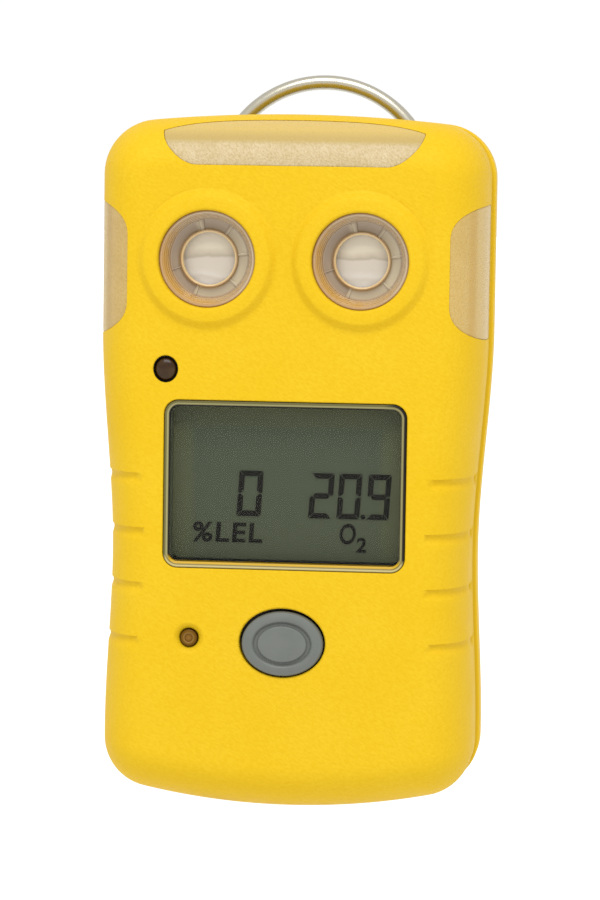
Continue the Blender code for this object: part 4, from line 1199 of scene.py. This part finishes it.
def front_lights():
    back = -9.9
    dome = [(0, FRONT_Y - 0.3)]
    for i in range(1, 13):
        a = pi / 2 * i / 12
        dome.append(((IR_R - 0.16) * sin(a), FRONT_Y + 0.6 - 0.9 * cos(a)))
    dome += [(IR_R - 0.16, -14.5), (IR_R + 0.4, -14.4), (IR_R + 0.4, back), (0, back)]
    dress(turned("ir_dome", dome, IR_X, IR_Z, 64, IR_TALL), dome_look(), "body", "dark_lens",
          "infrared_port_lens")
    ring = [(IR_R - 0.12, FRONT_Y + 0.9), (IR_R - 0.1, FRONT_Y + 0.25), (IR_R - 0.03, FRONT_Y + 0.14),
            (IR_R + 0.04, FRONT_Y + 0.16), (IR_R + 0.1, FRONT_Y + 0.3), (IR_R + 0.1, FRONT_Y + 0.9)]
    dress(turned("ir_surround", ring, IR_X, IR_Z, 64, IR_TALL), black_look(), "body", "dark_lens")
    led = [(0, FRONT_Y + 0.32), (0.3, FRONT_Y + 0.33), (0.5, FRONT_Y + 0.4), (0.72, FRONT_Y + 0.4),
           (0.86, FRONT_Y + 0.32), (1.05, FRONT_Y + 0.34)]
    led += arc(1.05, FRONT_Y + 0.8, LED_R + 0.14 - 1.05, -90, 0, 6)[1:]
    led += [(LED_R + 0.14, -14.0), (LED_R + 0.4, -13.9), (LED_R + 0.4, back), (0, back)]
    dress(turned("status_lens", led, LED_X, LED_Z, 64), led_look(), "body", "amber_led", "status_led")


# ---- ring, bracket, screws and contacts


def steel_look(name, tone, stretch, rough):
    look = Look(name, tone, rough, 1.0)
    streaks = look.noise(0.9, 3, 0.6, look.stretched(stretch))
    look.feed("Roughness", look.span(streaks, 0.3, 0.7, rough - 0.05, rough + 0.09))
    darker = tuple(v * 0.86 for v in tone)
    look.feed("Base Color", look.mix(look.span(streaks, 0.3, 0.7, 0, 0.35), tone, darker))
    look.bump((streaks, 0.08, 0.02))
    return look.material


def ring_path():
    """The ring's centre line in the XZ plane: a large arc, two tight corners and a straight bar."""
    corner = 2.6
    drop = RING_ARC_Z - (BAR_Z + corner)
    reach = sqrt((RING_ARC_R - corner) ** 2 - drop**2)
    turn = atan2(-drop, reach)
    points = []
    for i in range(121):
        a = turn + (pi - 2 * turn) * i / 120
        points.append((RING_X + RING_ARC_R * cos(a), RING_ARC_Z + RING_ARC_R * sin(a)))
    left = [pi - turn + (3 * pi / 2 - pi + turn) * i / 16 for i in range(1, 17)]
    points += [(RING_X - reach + corner * cos(a), BAR_Z + corner + corner * sin(a)) for a in left]
    points += [(RING_X - reach + 2 * reach * i / 20, BAR_Z) for i in range(1, 20)]
    right = [-pi / 2 + (turn + pi / 2) * i / 16 for i in range(16)]
    points += [(RING_X + reach + corner * cos(a), BAR_Z + corner + corner * sin(a)) for a in right]
    return points


def hanging_ring():
    path, rings = ring_path(), []
    for i, (x, z) in enumerate(path):
        ahead, behind = path[(i + 1) % len(path)], path[i - 1]
        along = Vector((ahead[0] - behind[0], 0, ahead[1] - behind[1])).normalized()
        across = Vector((along.z, 0, -along.x)) * WIRE_R
        turns = [2 * pi * k / WIRE_SIDES for k in range(WIRE_SIDES)]
        rings.append([Vector((x, BAR_Y + WIRE_R * sin(a), z)) + across * cos(a) for a in turns])
    look = steel_look("ring steel", srgb(184, 179, 163), (1, 1, 1), 0.29)
    dress(hoop("ring_wire", rings), look, "ring", "steel", "hanging_ring", smooth=60)


def bracket(material):
    """A plate on the back whose upper edge curls round the ring's bar."""
    low, high = box_mm("hanger_bracket")
    thick = 1.0
    outer_r = (high[1] - low[1]) / 2
    inner_r = outer_r - thick
    front = low[1]
    centre_y = (low[1] + high[1]) / 2
    half = high[0]
    turns = [radians(270 * i / 40) for i in range(41)]
    outer = [(centre_y - outer_r * cos(a), BAR_Z + outer_r * sin(a)) for a in turns]
    inner = [(centre_y - inner_r * cos(a), BAR_Z + inner_r * sin(a)) for a in reversed(turns)]
    profile = [(front, low[2] + 0.1), (front, low[2] + 3)] + outer + inner
    profile += [(front + thick, low[2] + 3), (front + thick, low[2] + 0.2), (front + thick - 0.2, low[2]),
                (front + 0.1, low[2])]
    slices = ((-half, 0.12), (-half + 0.12, 0.0), (half - 0.12, 0.0), (half, 0.12))
    rings = []
    for x, shrink in slices:
        ring = []
        for i, (y, z) in enumerate(profile):
            before, after = profile[i - 1], profile[(i + 1) % len(profile)]
            normal = Vector((after[1] - before[1], before[0] - after[0])).normalized()
            ring.append((x, y + normal.x * shrink, z + normal.y * shrink))
        rings.append(ring)
    plate = loft("bracket_plate", rings)
    holes, hole = [], [(0, front - 2), (1.15, front - 2), (1.15, front + 2), (0, front + 2)]
    for side in ("left", "right"):
        x, _, z = middle(f"{side}_bracket_screw")
        holes.append(turned("hole", hole, x, z, 48))
    boolean(plate, merged("holes", holes), "DIFFERENCE")
    dress(plate, material, "body", "steel", "hanger_bracket", smooth=40)


def screw(node, head_r, head_h, material):
    """A pan head with a rounded edge and a cross recess, over its shank."""
    low, high = box_mm(node)
    x, _, z = middle(node)
    top, seat, shank = high[1], high[1] - head_h, head_r * 0.5
    profile = [(0, low[1]), (shank * 0.4, low[1]), (shank, low[1] + 1.0), (shank, seat), (head_r, seat),
               (head_r, top - 0.42)]
    profile += arc(head_r - 0.4, top - 0.42, 0.4, 0, 84, 6)
    profile += [(head_r * 0.4, top), (0, top)]
    made = turned(f"{node}_turned", profile, x, z, 64)
    arms = []
    for wide, tall in ((head_r * 0.62, 0.24), (0.24, head_r * 0.62)):
        plan = rounded_rectangle(x, z, 2 * wide, 2 * tall, 0.1, 4)
        arms.append(loft("arm", [[(px, y, pz) for px, pz in plan] for y in (top - 0.5, top + 1)]))
    for arm in arms:
        boolean(made, arm, "DIFFERENCE")
    dress(made, material, "body", "steel", node)


def fasteners(material):
    for node in ("top_left", "top_right", "bottom_left", "bottom_right"):
        screw(f"{node}_case_screw", 2.1, 1.6, material)
    for side in ("left", "right"):
        screw(f"{side}_bracket_screw", 1.8, 0.9, material)


def contacts():
    look = Look("gold plate", srgb(214, 176, 96), 0.22, 1.0)
    worn = look.noise(2.2, 3)
    look.feed("Roughness", look.span(worn, 0.3, 0.7, 0.16, 0.32))
    look.feed("Base Color", look.ramp(worn, [(0.3, srgb(206, 166, 84)), (0.7, srgb(222, 186, 108))]))
    look.bump((look.noise(0.4, 2), 0.1, 0.02))
    for side in ("left", "right"):
        node = f"{side}_charging_contact"
        low, high = box_mm(node)
        x, _, z = middle(node)
        top = high[1]
        profile = [(0, top - 0.12), (0.9, top - 0.1), (1.3, top - 0.02), (1.55, top)]
        profile += arc(1.7, top - 0.3, 0.3, 80, 0, 5)
        profile += [(2.0, top - 1.7), (1.0, top - 1.7), (1.0, low[1]), (0, low[1])]
        dress(turned(f"{side}_contact_pad", profile, x, z, 64), look.material, "body", "brass", node)


# ---- inner parts that keep their CAD shape


INNER = (  # kind, two tones, roughness, metallic, size of the pattern, nodes
    ("seal_black", (168, 128, 28), (186, 142, 34), 0.75, 0.0, 2.0, "shell_gasket"),
    ("rubber", (26, 26, 26), (36, 36, 36), 0.8, 0.0, 1.2,
     "display_gasket left_sensor_gasket right_sensor_gasket"),
    ("sensor_metal", (168, 166, 160), (190, 188, 182), 0.34, 1.0, 1.2,
     "combustible_gas_sensor oxygen_sensor"),
    ("light_guide", (214, 218, 210), (226, 230, 222), 0.3, 0.0, 6.0, "backlight_plate"),
    ("black_plastic", (30, 30, 31), (42, 42, 43), 0.5, 0.0, 1.5,
     "button_switch board_connector buzzer battery_tray"),
    ("red_led", (170, 44, 34), (196, 60, 46), 0.22, 0.0, 1.5,
     "top_alarm_led left_alarm_led right_alarm_led"),
    ("board_green", (24, 92, 52), (34, 112, 64), 0.42, 0.0, 2.5, "main_circuit_board sensor_circuit_board"),
    ("steel", (168, 166, 160), (196, 194, 188), 0.28, 1.0, 0.8,
     "vibration_motor top_left_board_screw top_right_board_screw bottom_left_board_screw "
     "bottom_right_board_screw upper_sensor_board_screw lower_sensor_board_screw"),
    ("brass", (190, 150, 76), (212, 174, 98), 0.28, 1.0, 1.0, "eccentric_weight"),
    ("battery_blue", (38, 74, 150), (50, 90, 168), 0.35, 0.0, 9.0, "battery"),
)


def inner_parts():
    for kind, first, second, rough, metallic, size, nodes in INNER:
        look = Look(f"inner {kind}", srgb(*first), rough, metallic)
        pattern = look.noise(size, 3)
        look.feed("Base Color", look.ramp(pattern, [(0.35, srgb(*first)), (0.65, srgb(*second))]))
        look.feed("Roughness", look.span(pattern, 0.3, 0.7, rough - 0.05, rough + 0.08))
        look.bump((look.noise(size * 0.3, 3), 0.15, 0.03))
        for node in nodes.split():
            mesh = bpy.data.objects[node].data
            mesh.materials.clear()
            mesh.materials.append(look.material)


def main():
    surface = front_shell(yellow_look())
    rear_shell(rear_yellow_look())
    alarm_lenses(surface)
    sensors()
    display()
    mode_button()
    front_lights()
    hanging_ring()
    fittings = steel_look("plated steel", srgb(196, 194, 188), (1, 1, 3), 0.26)
    bracket(fittings)
    fasteners(fittings)
    contacts()
    inner_parts()


# ---- stage, light and camera


CAMERA_AZIMUTH, CAMERA_HEIGHT, CAMERA_ROLL = radians(6.2), radians(4.8), radians(0.87)
CAMERA_DISTANCE = 600.0
CAMERA_TARGET = Vector((0, 0, 56.75))
CAMERA_SLIDE = (0.66, 1.76)  # to the right and up, so that the object sits as framed
CAMERA_LENS = 143.6


def camera():
    az, el = CAMERA_AZIMUTH, CAMERA_HEIGHT
    back = Vector((sin(az) * cos(el), -cos(az) * cos(el), sin(el)))
    right = Vector((cos(az), sin(az), 0))
    up = Vector((-sin(az) * sin(el), cos(az) * sin(el), cos(el)))
    place = CAMERA_TARGET + back * CAMERA_DISTANCE + right * CAMERA_SLIDE[0] + up * CAMERA_SLIDE[1]
    c, s = cos(CAMERA_ROLL), sin(CAMERA_ROLL)
    rolled_right, rolled_up = right * c + up * s, up * c - right * s
    data = bpy.data.cameras.new("camera")
    data.lens = CAMERA_LENS
    data.sensor_width = 36
    data.clip_start, data.clip_end = 0.01, 20
    obj = placed("camera", data)
    turn = Matrix((rolled_right, rolled_up, back)).transposed()
    obj.matrix_world = Matrix.Translation(place * MM) @ turn.to_4x4()
    bpy.context.scene.camera = obj


def area_light(name, place, target, size, watts):
    data = bpy.data.lights.new(name, "AREA")
    data.shape = "RECTANGLE"
    data.size, data.size_y = size
    data.energy = watts
    obj = placed(name, data)
    obj.location = place
    obj.rotation_euler = (Vector(target) - Vector(place)).to_track_quat("-Z", "Y").to_euler()


def stage():
    far = 4000
    corners = [(-far, -far, 0), (far, -far, 0), (far, far, 0), (-far, far, 0)]
    floor = solid("floor", corners, [[0, 1, 2, 3]])
    look = Look("light table", (0.16, 0.16, 0.16), 0.9, Specular_IOR_Level=0.0)
    look.set("Emission Color", (1, 1, 1, 1))
    look.set("Emission Strength", 1.12)
    look.feed("Base Color", look.greys(look.noise(400, 2), (0.3, 0.15), (0.7, 0.17)))
    floor.data.materials.append(look.material)
    world = bpy.data.worlds.new("studio")
    bpy.context.scene.world = world
    world.use_nodes = True
    background = world.node_tree.nodes["Background"]
    background.inputs["Color"].default_value = (1, 1, 1, 1)
    background.inputs["Strength"].default_value = 1.02
    bpy.context.scene.view_settings.view_transform = "Standard"
    area_light("key", (0.05, -0.75, 1.05), (0, 0, 0.06), (1.0, 0.6), 11.0)


main()
camera()
stage()
